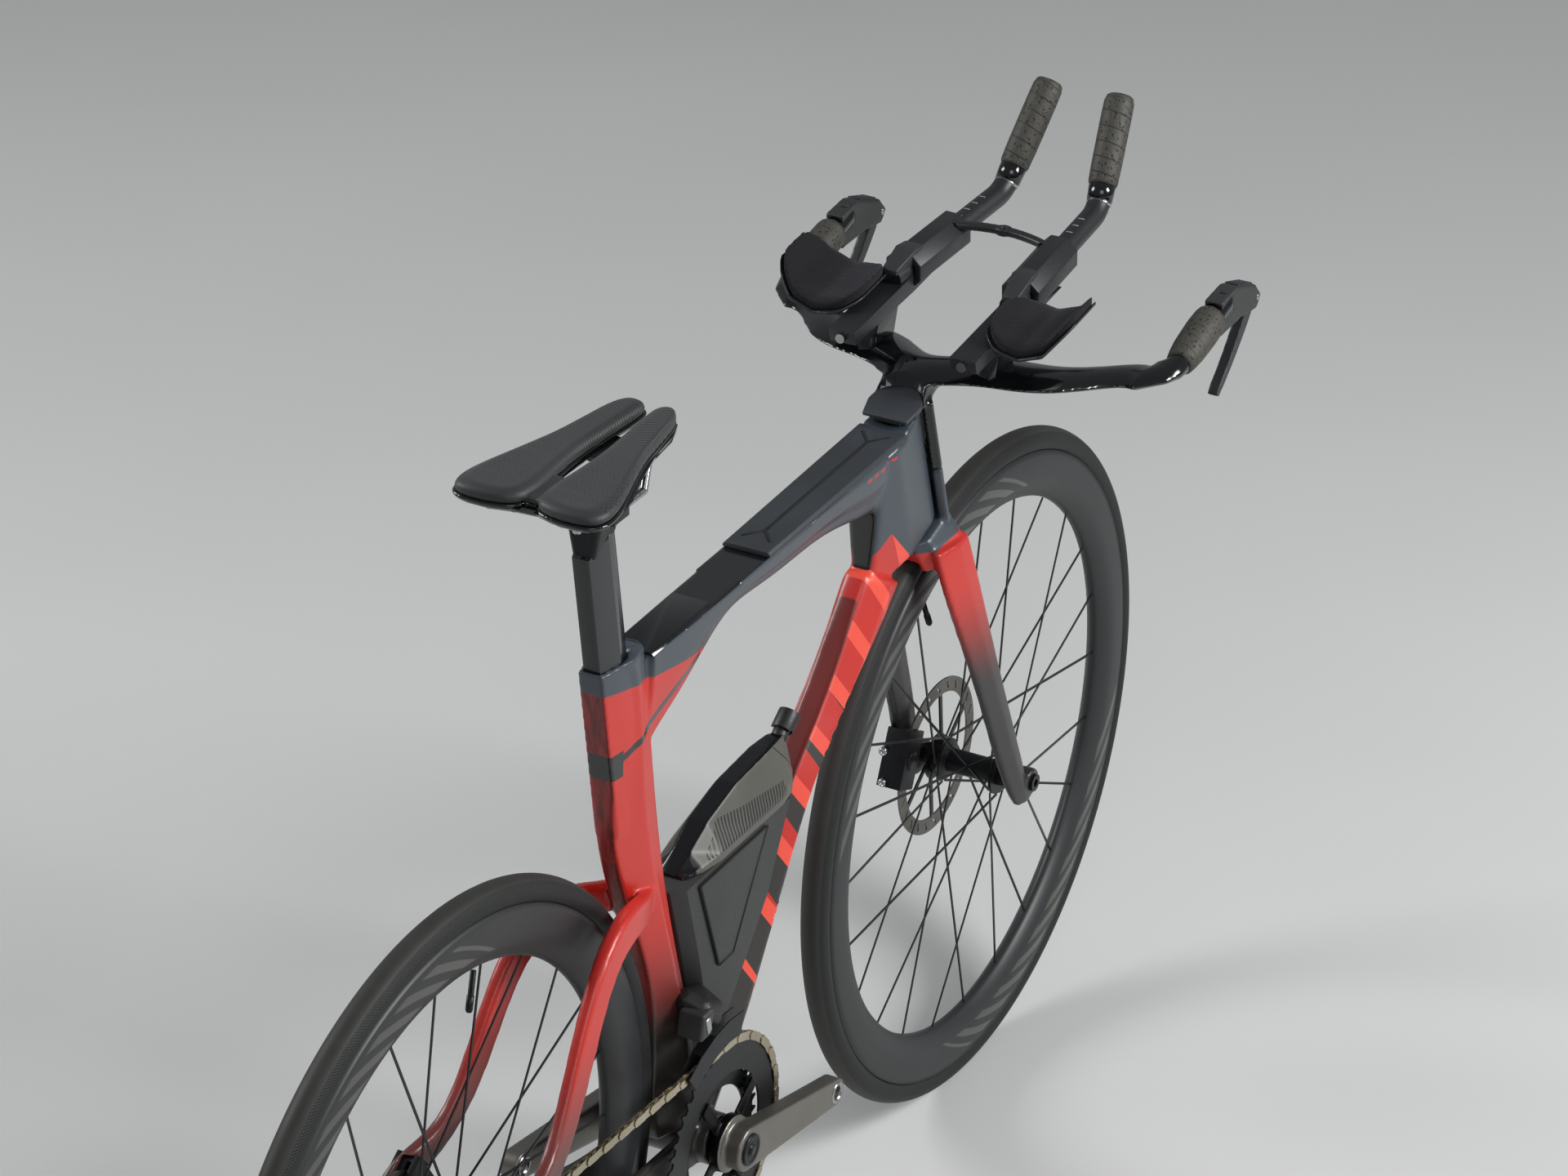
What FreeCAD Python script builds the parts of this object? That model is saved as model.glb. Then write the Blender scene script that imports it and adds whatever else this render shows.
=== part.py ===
import FreeCAD, Part
import math
import os
import types
import Sketcher
from FreeCAD import Placement, Rotation, Vector

# A time trial bicycle: X points forward, Y to the rider's left and Z up.
# The origin lies on the ground, midway between the two axles.

# Driving sizes, in millimetres and degrees, one sheet cell each.
SIZES = {
    # wheels and tyres
    "wheelbase": 980.0,
    "wheel_radius": 338.0,
    "tyre_section_radius": 13.5,
    "tyre_seat_radius": 316.5,
    "rim_seat_half": 12.0,
    "rim_half": 14.0,
    "rim_bulge_radius": 292.0,
    "rim_taper_radius": 277.0,
    "rim_taper_half": 9.5,
    "rim_inner_radius": 269.0,
    "rim_tip_half": 4.0,
    "spoke_width": 2.4,
    "spoke_thickness": 1.2,
    "spoke_end_gap": 0.4,
    "spoke_lead": 68.0,
    "axle_radius": 6.0,
    "axle_bore_radius": 4.0,
    "axle_head_radius": 8.5,
    "axle_head_length": 3.0,
    "hub_cap_radius": 9.0,
    "hub_shell_radius": 12.0,
    "hub_flange_radius": 21.0,
    "hub_flange_width": 3.0,
    "hub_taper": 3.0,
    "front_hub_half": 49.7,
    "front_flange_offset": 28.0,
    "rear_hub_half": 70.7,
    "rear_left_flange_offset": 36.0,
    "rear_right_flange_offset": 17.0,
    "freehub_radius": 17.0,
    # disc brakes
    "rotor_seat_radius": 17.0,
    "rotor_carrier_radius": 23.0,
    "rotor_thickness": 1.8,
    "rotor_track_width": 15.0,
    "front_rotor_radius": 80.0,
    "front_rotor_offset": 40.0,
    "rear_rotor_radius": 70.0,
    "rear_rotor_offset": 56.0,
    "rotor_arm_width": 5.0,
    "rotor_slot_width": 2.6,
    "rotor_slot_length": 9.0,
    "caliper_length": 58.0,
    "caliper_height": 30.0,
    "caliper_half_width": 7.8,
    "caliper_slot_half": 2.2,
    "caliper_corner": 7.0,
    "rotor_edge_gap": 2.0,
    "brake_pad_thickness": 1.2,
    "brake_pad_length": 22.0,
    "brake_pad_height": 14.0,
    "brake_pad_recess": 1.0,
    "front_caliper_turn": 157.0,
    "rear_caliper_turn": 33.0,
    # frame
    "chain_stay_run": 397.0,
    "bottom_bracket_drop": 84.0,
    "shell_radius": 24.0,
    "shell_half": 42.5,
    "cup_radius": 20.5,
    "cup_width": 7.0,
    "seat_tube_top_run": 244.0,
    "seat_tube_rise": 527.0,
    "seat_tube_lean": 10.5,
    "seat_tube_chord": 74.0,
    "seat_tube_half": 19.0,
    "seat_tube_rear_half": 9.0,
    "top_tube_rear_run": 74.0,
    "top_tube_front_back": 102.0,
    "top_tube_rear_drop": 10.0,
    "top_tube_front_drop": 13.75,
    "top_tube_depth": 50.0,
    "top_tube_half": 25.0,
    "down_tube_end_back": 111.0,
    "down_tube_end_drop": 4.0,
    "down_tube_chord": 48.0,
    "down_tube_half": 24.0,
    "down_tube_rear_half": 11.0,
    "head_angle": 72.5,
    "fork_offset": 42.0,
    "fork_rise": 330.0,
    "head_length": 135.0,
    "head_radius": 21.0,
    "head_depth": 100.0,
    "head_half": 24.5,
    "bearing_radius": 18.0,
    "bearing_height": 8.0,
    "steerer_radius": 12.0,
    "stay_root_run": 86.0,
    "stay_root_drop": 247.0,
    "stay_depth": 32.0,
    "stay_thickness": 14.0,
    "dropout_inside": 71.0,
    "dropout_thickness": 8.0,
    "dropout_radius": 16.0,
    "rear_room_radius": 82.0,
    "rear_room_half": 64.0,
    # covers on the top tube
    "lid_front_back": 66.0,
    "lid_length": 255.0,
    "lid_half": 25.5,
    "lid_thickness": 5.0,
    "lid_taper": 2.0,
    "plate_rear_overlap": 4.0,
    "plate_length": 100.0,
    "plate_half": 21.0,
    "plate_thickness": 3.0,
    # seat post and saddle
    "post_chord": 47.0,
    "post_half": 13.0,
    "post_rear_half": 8.0,
    "post_lean": 9.5,
    "post_rise": 131.0,
    "post_insertion": 126.0,
    "post_rear_wall": 4.0,
    "post_down_travel": 30.0,
    "wedge_length": 16.0,
    "wedge_width": 18.0,
    "wedge_height": 30.0,
    "rail_radius": 3.5,
    "rail_half_gap": 22.0,
    "rail_rise": 22.0,
    "clamp_length": 44.0,
    "clamp_thickness": 7.0,
    "clamp_half": 27.0,
    "saddle_nose_forward": 101.4,
    "saddle_length": 214.0,
    "saddle_rise": 54.0,
    "saddle_half": 70.0,
    "saddle_pad_thickness": 22.0,
    "saddle_shell_thickness": 5.0,
    # fork
    "fork_seam": 1.0,
    "crown_half_length": 33.0,
    "crown_top_half": 25.0,
    "crown_bottom_half": 41.0,
    "crown_depth": 30.0,
    "crown_arch_gap": 7.0,
    "crown_arch_half": 19.0,
    "fork_inside": 50.0,
    "fork_leg_chord": 46.0,
    "fork_leg_half": 7.5,
    "fork_leg_rear_half": 3.5,
    "nose_inner_radius": 24.0,
    "nose_outer_radius": 34.0,
    "nose_half_angle": 64.0,
    "nose_height": 58.0,
    # stem, base bar and controls
    "stem_half": 25.0,
    "stem_rear": 21.0,
    "stem_front": 40.0,
    "stem_cap_thickness": 4.0,
    "wing_rear_forward": 1.7,
    "wing_rise": 25.25,
    "wing_chord": 72.0,
    "wing_thickness": 20.0,
    "wing_reach": 178.0,
    "bar_end_forward": 175.0,
    "bar_end_drop": 5.0,
    "grip_offset": 197.0,
    "bar_end_radius": 11.0,
    "grip_length": 78.0,
    "grip_rise": 21.0,
    "grip_radius": 16.5,
    "hood_length": 92.0,
    "hood_half": 9.5,
    "hood_depth": 36.0,
    "lever_half": 5.0,
    "lever_slot_half": 5.6,
    "lever_pin_radius": 2.5,
    "lever_length": 100.0,
    "riser_set_forward": 49.0,
    "riser_chord": 46.0,
    "riser_half": 9.0,
    "riser_forward": 16.0,
    "extension_offset": 61.0,
    "bracket_set_forward": 9.0,
    "bracket_rise": 36.0,
    "bracket_half": 13.0,
    "clamp_block_forward": 124.0,
    "clamp_block_length": 92.0,
    "clamp_block_half": 17.5,
    "extension_radius": 11.0,
    "extension_rise": 14.0,
    "bend_forward": 308.0,
    "bend_offset": 49.0,
    "bend_rise": 15.0,
    "bend_radius": 34.0,
    "tip_forward": 68.0,
    "tip_offset": 36.6,
    "tip_rise": 89.5,
    "extension_grip_radius": 14.5,
    "extension_grip_length": 88.0,
    "bridge_forward": 194.0,
    "bridge_bow": 16.0,
    "bridge_half_width": 5.0,
    "bridge_half_height": 3.5,
    "bridge_boss_radius": 7.0,
    "bridge_hole_radius": 2.5,
    "cup_inner_offset": 62.0,
    "cup_outer_offset": 149.0,
    "cup_set_forward": 28.0,
    "cup_length": 88.0,
    "cup_drop": 2.0,
    "cup_thickness": 3.0,
    "cup_wing_rise": 34.0,
    "cup_pitch_rise": 11.0,
    "arm_pad_thickness": 10.0,
    "bolt_length": 5.0,
    "bolt_radius": 4.5,
    # bottle and storage box
    "box_height": 166.0,
    "box_bottom_rise": 98.0,
    "box_half": 24.0,
    "box_rear_reach": 39.0,
    "box_length": 209.0,
    "door_thickness": 2.2,
    "bottle_set_forward": 24.0,
    "bottle_length": 198.0,
    "bottle_height": 52.0,
    "bottle_half": 26.0,
    "spout_radius": 7.0,
    "spout_cap_radius": 10.5,
    "spout_length": 16.0,
    "spout_cap_length": 13.0,
    "spout_cap_gap": 3.0,
    "spout_lean": 35.0,
    # drive
    "chain_pitch": 12.7,
    "roller_radius": 3.75,
    "plate_half_height": 4.1,
    "inner_plate_inside": 1.05,
    "chain_plate_thickness": 0.7,
    "chain_plate_gap": 0.1,
    "tooth_tip_rise": 2.5,
    "tooth_tip_half": 0.85,
    "tooth_root_half": 2.45,
    "tooth_root_drop": 4.15,
    "cog_thickness": 1.6,
    "cog_pitch": 3.5,
    "largest_cog_offset": 21.0,
    "cog_spacer_radius": 18.6,
    "outer_ring_offset": 46.5,
    "inner_ring_offset": 39.5,
    "ring_thickness": 1.8,
    "outer_ring_bore": 66.0,
    "inner_ring_bore": 50.0,
    "spindle_radius": 14.5,
    "spindle_bore_radius": 11.0,
    "crank_length": 170.0,
    "crank_inside": 58.0,
    "crank_outside": 75.0,
    "crank_root_radius": 21.0,
    "crank_end_radius": 13.5,
    "crank_angle": -11.6,
    "pedal_hole_radius": 7.14,
    "spider_hub_radius": 27.0,
    "spider_arm_width": 13.0,
    "spider_thickness": 3.0,
    "ring_tab_radius": 9.0,
    "ring_post_radius": 5.0,
    "front_cage_gap": 4.6,
    "front_cage_thickness": 1.2,
    "front_cage_inner_radius": 104.0,
    "front_cage_outer_radius": 126.0,
    "front_cage_start": 78.0,
    "front_cage_end": 124.0,
    "shifter_body_length": 40.0,
    "shifter_body_height": 34.0,
    "shifter_body_width": 20.0,
    "guide_pulley_forward": 8.0,
    "guide_pulley_drop": 89.0,
    "cage_length": 76.0,
    "cage_angle": 58.0,
    "cage_plate_gap": 4.2,
    "cage_plate_thickness": 1.6,
    "cage_plate_half_width": 11.0,
    "pulley_bore_radius": 3.0,
    "pulley_thickness": 2.0,
    "knuckle_radius": 15.0,
    "knuckle_length": 30.0,
    "hanger_drop": 38.0,
    "hanger_half": 9.0,
    "battery_length": 30.0,
    "battery_width": 24.0,
    "battery_height": 18.0,
    # clearances
    "fit_gap": 0.05,
    "slide_gap": 0.1,
    "seam_gap": 0.3,
    "cut_overrun": 6.0,
}

# Counts of teeth, links and repeats.
OUTER_TEETH = 48
INNER_TEETH = 35
CASSETTE_TEETH = (28, 24, 21, 19, 17, 16, 15, 14, 13, 12, 11, 10)
DRIVEN_COG = 5
PULLEY_TEETH = 12
SPOKES = 24
ROTOR_ARMS = 6
ROTOR_SLOTS = 24
SPIDER_ARMS = 4
BOTH_SIDES = (1, -1)


class Size(float):
    """A number that remembers the sheet expression it was worked out from."""

    def __new__(cls, value, text):
        number = float.__new__(cls, value)
        number.text = text
        return number

    def __add__(self, other):
        return Size(float(self) + other, "(%s + %s)" % (self.text, words(other)))

    def __sub__(self, other):
        return Size(float(self) - other, "(%s - %s)" % (self.text, words(other)))

    def __mul__(self, other):
        return Size(float(self) * other, "(%s * %s)" % (self.text, words(other)))

    def __truediv__(self, other):
        return Size(float(self) / other, "(%s / %s)" % (self.text, words(other)))

    def __neg__(self):
        return Size(-float(self), "(-%s)" % self.text)


def words(number):
    """Expression text of a size, or of a plain number."""
    if isinstance(number, Size):
        return number.text
    return "(%r)" % float(number)


doc = FreeCAD.newDocument("TimeTrialBike")
sheet = doc.addObject("Spreadsheet::Sheet", "Sizes")
for row, (alias, value) in enumerate(SIZES.items(), 1):
    sheet.set("A%d" % row, alias)
    sheet.set("B%d" % row, str(value))
    sheet.setAlias("B%d" % row, alias)
doc.recompute()
d = types.SimpleNamespace(**{alias: Size(sheet.get(alias), "Sizes." + alias) for alias in SIZES})
pieces = []


def bind(thing, **sizes):
    """Binds properties to sheet expressions."""
    for name, number in sizes.items():
        thing.setExpression(name, words(number))


def place(thing, x=0, y=0, z=0):
    """Binds where a piece stands."""
    for axis, number in (("x", x), ("y", y), ("z", z)):
        thing.setExpression("Placement.Base." + axis, words(number))


def keep(thing):
    """Lists a finished sub-part, which is written out under its label."""
    pieces.append(thing)
    return thing


def formed(label, shape):
    """A sub-part whose free-form shape comes from sections and sweeps."""
    thing = doc.addObject("Part::Feature", label)
    thing.Shape = shape
    thing.Placement = Placement()
    return keep(thing)


def outlined(label, plane_role, outline):
    """A body with one sketch whose every corner is bound to the sheet."""
    body = doc.addObject("PartDesign::Body", label)
    sketch = body.newObject("Sketcher::SketchObject", label + "_outline")
    planes = [part for part in body.Origin.OriginFeatures if part.Role == plane_role]
    sketch.AttachmentSupport = [(planes[0], "")]
    sketch.MapMode = "FlatFace"
    corners = [Vector(x, y, 0) for x, y in outline]
    count = len(corners)
    for index in range(count):
        sketch.addGeometry(Part.LineSegment(corners[index], corners[(index + 1) % count]))
    for index in range(count):
        sketch.addConstraint(Sketcher.Constraint("Coincident", index, 2, (index + 1) % count, 1))
    for index, (x, y) in enumerate(outline):
        for kind, letter, number in (("DistanceX", "x", x), ("DistanceY", "y", y)):
            which = sketch.addConstraint(Sketcher.Constraint(kind, -1, 1, index, 1, float(number)))
            name = "%s%d" % (letter, index)
            sketch.renameConstraint(which, name)
            sketch.setExpression("Constraints." + name, words(number))
    doc.recompute()
    return body, sketch


def turned(label, outline, x, z):
    """A piece turned about a cross axis: outline corners are radius and Y."""
    body, sketch = outlined(label, "XY_Plane", outline)
    turn = body.newObject("PartDesign::Revolution", label + "_turn")
    turn.Profile = sketch
    turn.ReferenceAxis = (sketch, ["V_Axis"])
    turn.Angle = 360
    place(body, x=x, z=z)
    return keep(body)


def mirrored(points):
    """An outline's points, followed by their mirror image in the other half."""
    return points + [(r, -y) for r, y in reversed(points)]


def rod(start, end, radius):
    """A round bar between two points."""
    run = end - start
    return Part.makeCylinder(radius, run.Length, start, run)


def cross_rod(x, z, radius, y_from, y_to):
    """A round bar along Y."""
    return rod(Vector(x, y_from, z), Vector(x, y_to, z), radius)


def polygon(points):
    """A closed flat wire through points."""
    return Part.makePolygon(points + [points[0]])


def slab(points, y_from, y_to):
    """A side outline of (x, z) points, as thick as the stretch between two Y values."""
    wire = polygon([Vector(x, y_from, z) for x, z in points])
    return Part.Face(wire).extrude(Vector(0, y_to - y_from, 0))


def mirror(shape):
    """The same shape on the other side of the bike."""
    return shape.mirror(Vector(0, 0, 0), Vector(0, 1, 0))


def pair(shape):
    """A left and a right piece as one group."""
    return Part.makeCompound([shape, mirror(shape)])


def kamm(rear, front, rear_half, half, y=0, wide_share=0.55, nose_share=0.8):
    """An aero section: flat rear face, widest part-way, round nose."""
    start = Vector(rear[0], y, rear[1])
    chord = Vector(front[0] - rear[0], 0, front[1] - rear[1])
    nose_half = half * nose_share
    nose_at = 1 - nose_half / chord.Length

    def at(share, side):
        return start + chord * share + Vector(0, side, 0)

    corners = [at(0, -rear_half), at(0, rear_half), at(wide_share, half), at(nose_at, nose_half)]
    returns = [at(nose_at, -nose_half), at(wide_share, -half)]
    edges = [Part.LineSegment(a, b) for a, b in zip(corners, corners[1:])]
    edges.append(Part.Arc(corners[-1], at(1, 0), returns[0]))
    edges.append(Part.LineSegment(returns[0], returns[1]))
    edges.append(Part.LineSegment(returns[1], corners[0]))
    return Part.Wire([edge.toShape() for edge in edges])


def octagon(centre, along, across, half_along, half_across, corner_share=0.45):
    """A section with eight corners, spanned by two unit directions."""
    cut = min(half_along, half_across) * corner_share
    inner_along = half_along - cut
    inner_across = half_across - cut
    signs = ((1, 1), (-1, 1), (-1, -1), (1, -1))
    points = []
    for step, (a, b) in enumerate(signs):
        first = along * (a * half_along) + across * (b * inner_across)
        second = along * (a * inner_along) + across * (b * half_across)
        points += [centre + first, centre + second] if step % 2 == 0 else [centre + second, centre + first]
    return polygon(points)


def lens(rear, front, thickness, y):
    """A wing section of two arcs between its rear and front edges."""
    a = Vector(rear[0], y, rear[1])
    b = Vector(front[0], y, front[1])
    middle = (a + b) * 0.5
    rise = Vector(0, 0, thickness / 2)
    top = Part.Arc(a, middle + rise, b).toShape()
    bottom = Part.Arc(b, middle - rise, a).toShape()
    return Part.Wire([top, bottom])


def loft(wires, ruled=False):
    """A solid through sections."""
    return Part.makeLoft(wires, True, ruled)


def blade(start, end, width_way, width, thickness):
    """A flat bar between two points, wide along the given direction."""
    run = end - start
    along = Vector(run).normalize()
    across = (width_way - along * width_way.dot(along)).normalize()
    deep = along.cross(across)
    half = across * (width / 2)
    rise = deep * (thickness / 2)
    wire = polygon([start + half + rise, start - half + rise, start - half - rise, start + half - rise])
    return Part.Face(wire).extrude(run)


# Reference points that many pieces share.
rear_x = -d.wheelbase / 2
front_x = d.wheelbase / 2
axle_z = d.wheel_radius
bracket_x = rear_x + d.chain_stay_run
bracket_z = axle_z - d.bottom_bracket_drop
head_tilt = math.radians(d.head_angle)
steer_up = Vector(-math.cos(head_tilt), 0, math.sin(head_tilt))
steer_forward = Vector(math.sin(head_tilt), 0, math.cos(head_tilt))
front_axle = Vector(front_x, 0, axle_z)
rear_axle = Vector(rear_x, 0, axle_z)
trail_point = front_axle - steer_forward * d.fork_offset
head_bottom = trail_point + steer_up * ((axle_z + d.fork_rise - trail_point.z) / steer_up.z)


def steer(up, forward=0, side=0):
    """A point in the steering frame, from the seat of the lower bearing."""
    return head_bottom + steer_up * up + steer_forward * forward + Vector(0, side, 0)


head_top = steer(d.head_length)
seat_top_x = rear_x + d.seat_tube_top_run
seat_top_z = bracket_z + d.seat_tube_rise
top_rear_x = seat_top_x + d.top_tube_rear_run
top_rear_z = seat_top_z - d.top_tube_rear_drop
top_front_x = head_bottom.x - d.top_tube_front_back
top_front_z = head_top.z - d.top_tube_front_drop
down_top_x = head_bottom.x - d.down_tube_end_back
down_top_z = head_bottom.z - d.down_tube_end_drop
post_top_z = seat_top_z + d.post_rise
post_bottom_z = seat_top_z - d.post_insertion
rail_z = post_top_z + d.rail_rise
saddle_top_z = rail_z + d.saddle_rise
wing_rear_x = head_top.x + d.wing_rear_forward
wing_z = head_top.z + d.wing_rise
bar_end_x = wing_rear_x + d.bar_end_forward
bar_end_z = wing_z - d.bar_end_drop
mount_rear_x = wing_rear_x + d.bracket_set_forward
mount_z = wing_z + d.bracket_rise
clamp_rear_x = wing_rear_x + d.clamp_block_forward
extension_z = mount_z + d.extension_rise
riser_rear_x = wing_rear_x + d.riser_set_forward
cup_rear_x = wing_rear_x + d.cup_set_forward
cup_z = mount_z - d.cup_drop
bridge_x = wing_rear_x + d.bridge_forward
box_bottom_z = bracket_z + d.box_bottom_rise
box_top_z = box_bottom_z + d.box_height
box_rear_x = bracket_x - d.box_rear_reach
bottle_rear_x = box_rear_x + d.bottle_set_forward


# Wheels
def make_tyre(label, x):
    """A round tyre whose inner face sits on the rim."""
    ring = doc.addObject("Part::Torus", label + "_ring")
    ring.Placement = Placement(Vector(), Rotation(Vector(1, 0, 0), 90))
    bind(ring, Radius1=d.wheel_radius - d.tyre_section_radius, Radius2=d.tyre_section_radius)
    place(ring, x=x, z=axle_z)
    seat = doc.addObject("Part::Cylinder", label + "_seat")
    seat.Placement = Placement(Vector(), Rotation(Vector(1, 0, 0), -90))
    bind(seat, Radius=d.tyre_seat_radius, Height=d.rim_half * 2 + d.cut_overrun)
    place(seat, x=x, y=-d.rim_half - d.cut_overrun / 2, z=axle_z)
    tyre = doc.addObject("Part::Cut", label)
    tyre.Base = ring
    tyre.Tool = seat
    return keep(tyre)


def make_rim(label, x):
    """A deep-section rim."""
    half = [
        (d.tyre_seat_radius, -d.rim_seat_half),
        (d.rim_bulge_radius, -d.rim_half),
        (d.rim_taper_radius, -d.rim_taper_half),
        (d.rim_inner_radius, -d.rim_tip_half),
    ]
    return turned(label, mirrored(half), x, axle_z)


def make_spokes(label, x, left_flange, right_flange):
    """Bladed spokes laced tangentially from both flanges to the rim."""
    spokes = []
    for index in range(SPOKES):
        left = index % 2 == 0
        offset = left_flange if left else -right_flange
        lean = 1 if index % 4 < 2 else -1
        angle = 2 * math.pi * index / SPOKES
        lead = math.radians(d.spoke_lead) * lean
        inner = d.hub_flange_radius + d.spoke_end_gap + d.spoke_width / 2
        outer = d.rim_inner_radius - d.spoke_end_gap
        a = Vector(inner * math.cos(angle + lead), offset, inner * math.sin(angle + lead))
        b = Vector(outer * math.cos(angle), 0, outer * math.sin(angle))
        spoke = blade(a, b, Vector(-math.sin(angle), 0, math.cos(angle)), d.spoke_width, d.spoke_thickness)
        spoke.translate(Vector(x, 0, axle_z))
        spokes.append(spoke)
    return formed(label, Part.makeCompound(spokes))


def make_rotor(label, x, y, radius):
    """A brake disc: slotted track, slanted arms and a carrier ring."""
    low = y - d.rotor_thickness / 2
    thick = Vector(0, d.rotor_thickness, 0)
    centre = Vector(x, low, axle_z)
    track_inner = radius - d.rotor_track_width

    def ring(outer, inner):
        disc = Part.makeCylinder(outer, d.rotor_thickness, centre, Vector(0, 1, 0))
        return disc.cut(Part.makeCylinder(inner, d.rotor_thickness, centre, Vector(0, 1, 0)))

    def spot(r, angle):
        return centre + Vector(r * math.cos(angle), 0, r * math.sin(angle))

    disc = ring(radius, track_inner)
    slots = []
    for index in range(ROTOR_SLOTS):
        angle = 2 * math.pi * index / ROTOR_SLOTS
        middle = spot((radius + track_inner) / 2, angle)
        way = Vector(math.cos(angle + math.pi / 5), 0, math.sin(angle + math.pi / 5))
        half = way * (d.rotor_slot_length / 2)
        slots.append(blade(middle - half, middle + half, way.cross(thick), d.rotor_slot_width, d.cut_overrun))
    disc = disc.cut(slots)
    arms = [ring(d.rotor_carrier_radius, d.rotor_seat_radius + d.fit_gap)]
    for index in range(ROTOR_ARMS):
        angle = 2 * math.pi * index / ROTOR_ARMS
        a = spot(d.rotor_carrier_radius - d.rotor_arm_width / 2, angle)
        b = spot(track_inner + d.rotor_arm_width / 4, angle + math.pi / 7)
        way = (b - a).cross(thick)
        arm = blade(a + thick / 2, b + thick / 2, way, d.rotor_arm_width, d.rotor_thickness)
        arms.append(arm)
    return formed(label, disc.fuse(arms).removeSplitter())


make_tyre("front_tyre", front_x)
make_tyre("rear_tyre", rear_x)
make_rim("front_rim", front_x)
make_rim("rear_rim", rear_x)
make_spokes("front_spokes", front_x, d.front_flange_offset, d.front_flange_offset)
make_spokes("rear_spokes", rear_x, d.rear_left_flange_offset, d.rear_right_flange_offset)
make_rotor("front_rotor", front_x, d.front_rotor_offset, d.front_rotor_radius)
make_rotor("rear_rotor", rear_x, d.rear_rotor_offset, d.rear_rotor_radius)


def hub_outline(half, right_flange, left_flange, rotor_offset, drive_radius):
    """Hub corners from the right end to the left end, then back along the bore."""
    bore = d.axle_radius + d.fit_gap
    edge = d.hub_flange_width / 2
    rotor_edge = rotor_offset + d.rotor_thickness / 2
    return [
        (bore, -half),
        (d.hub_cap_radius, -half),
        (drive_radius, -half + d.hub_taper),
        (drive_radius, -right_flange - edge),
        (d.hub_flange_radius, -right_flange - edge),
        (d.hub_flange_radius, -right_flange + edge),
        (d.hub_shell_radius, -right_flange + edge + d.hub_taper),
        (d.hub_shell_radius, left_flange - edge - d.hub_taper),
        (d.hub_flange_radius, left_flange - edge),
        (d.hub_flange_radius, left_flange + edge),
        (d.rotor_seat_radius, left_flange + edge),
        (d.rotor_seat_radius, rotor_edge),
        (d.hub_cap_radius, rotor_edge + d.hub_taper),
        (d.hub_cap_radius, half),
        (bore, half),
    ]


turned(
    "front_hub",
    hub_outline(d.front_hub_half, d.front_flange_offset, d.front_flange_offset, d.front_rotor_offset, d.hub_shell_radius),
    front_x,
    axle_z,
)
turned(
    "rear_hub",
    hub_outline(
        d.rear_hub_half, d.rear_right_flange_offset, d.rear_left_flange_offset, d.rear_rotor_offset, d.freehub_radius
    ),
    rear_x,
    axle_z,
)


def axle_outline(outside):
    """A hollow through-axle with a low head on its right end."""
    return [
        (d.axle_bore_radius, -outside - d.axle_head_length),
        (d.axle_head_radius, -outside - d.axle_head_length),
        (d.axle_head_radius, -outside),
        (d.axle_radius, -outside),
        (d.axle_radius, outside),
        (d.axle_bore_radius, outside),
    ]


fork_outside = d.fork_inside + d.fork_leg_half * 2
dropout_outside = d.dropout_inside + d.dropout_thickness
turned("front_axle", axle_outline(fork_outside), front_x, axle_z)
turned("rear_axle", axle_outline(dropout_outside), rear_x, axle_z)

# Frame
shell_centre = Vector(bracket_x, 0, bracket_z)
shell_space = cross_rod(bracket_x, bracket_z, d.shell_radius, -d.shell_half, d.shell_half)
shell_wide = cross_rod(bracket_x, bracket_z, d.shell_radius, -d.crank_inside, d.crank_inside)
seat_lean = math.tan(math.radians(d.seat_tube_lean))
post_lean = math.tan(math.radians(d.post_lean))

# Height, step forward of the rear face, chord and width of each seat tube section.
seat_tube_shares = (
    (1.0, 0.0, 1.0, 1.0),
    (0.793, 0.0, 0.93, 1.0),
    (0.581, 0.0, 0.89, 1.0),
    (0.41, 0.28, 0.68, 1.05),
    (0.277, 0.33, 0.72, 1.15),
    (0.03, 0.12, 0.99, 1.3),
)
seat_rise = seat_top_z - bracket_z
seat_sections = []
for height_share, step_share, chord_share, width_share in seat_tube_shares:
    z = bracket_z + seat_rise * height_share
    rear = seat_top_x + (seat_top_z - z) * seat_lean + d.seat_tube_chord * step_share
    front = rear + d.seat_tube_chord * chord_share
    seat_sections.append(kamm((rear, z), (front, z), d.seat_tube_rear_half, d.seat_tube_half * width_share))
seat_tube = loft(seat_sections).cut(shell_wide)


def post_rear(z):
    """X of the seat post's rear face at a height."""
    return seat_top_x + d.post_rear_wall + (seat_top_z - z) * post_lean


def post_solid(low, high, grow):
    """The seat post's aero section between two heights, grown by a clearance."""
    sections = []
    for z in (low, high):
        rear = post_rear(z)
        ends = ((rear - grow, z), (rear + d.post_chord + grow, z))
        sections.append(kamm(ends[0], ends[1], d.post_rear_half + grow, d.post_half + grow))
    return loft(sections, True)


post_socket = post_solid(
    post_bottom_z - d.post_down_travel - d.seam_gap, seat_top_z + d.cut_overrun, d.slide_gap
)
wedge_high = seat_top_z - d.wedge_length / 2
wedge_x = post_rear(wedge_high) + d.post_chord - d.wedge_length / 2
wedge_box = Part.makeBox(
    d.wedge_length, d.wedge_width, d.wedge_height,
    Vector(wedge_x, -d.wedge_width / 2, wedge_high - d.wedge_height),
)
wedge = wedge_box.cut(post_socket)
seat_tube = seat_tube.cut([post_socket, wedge_box])
formed("seat_tube", seat_tube)

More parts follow.
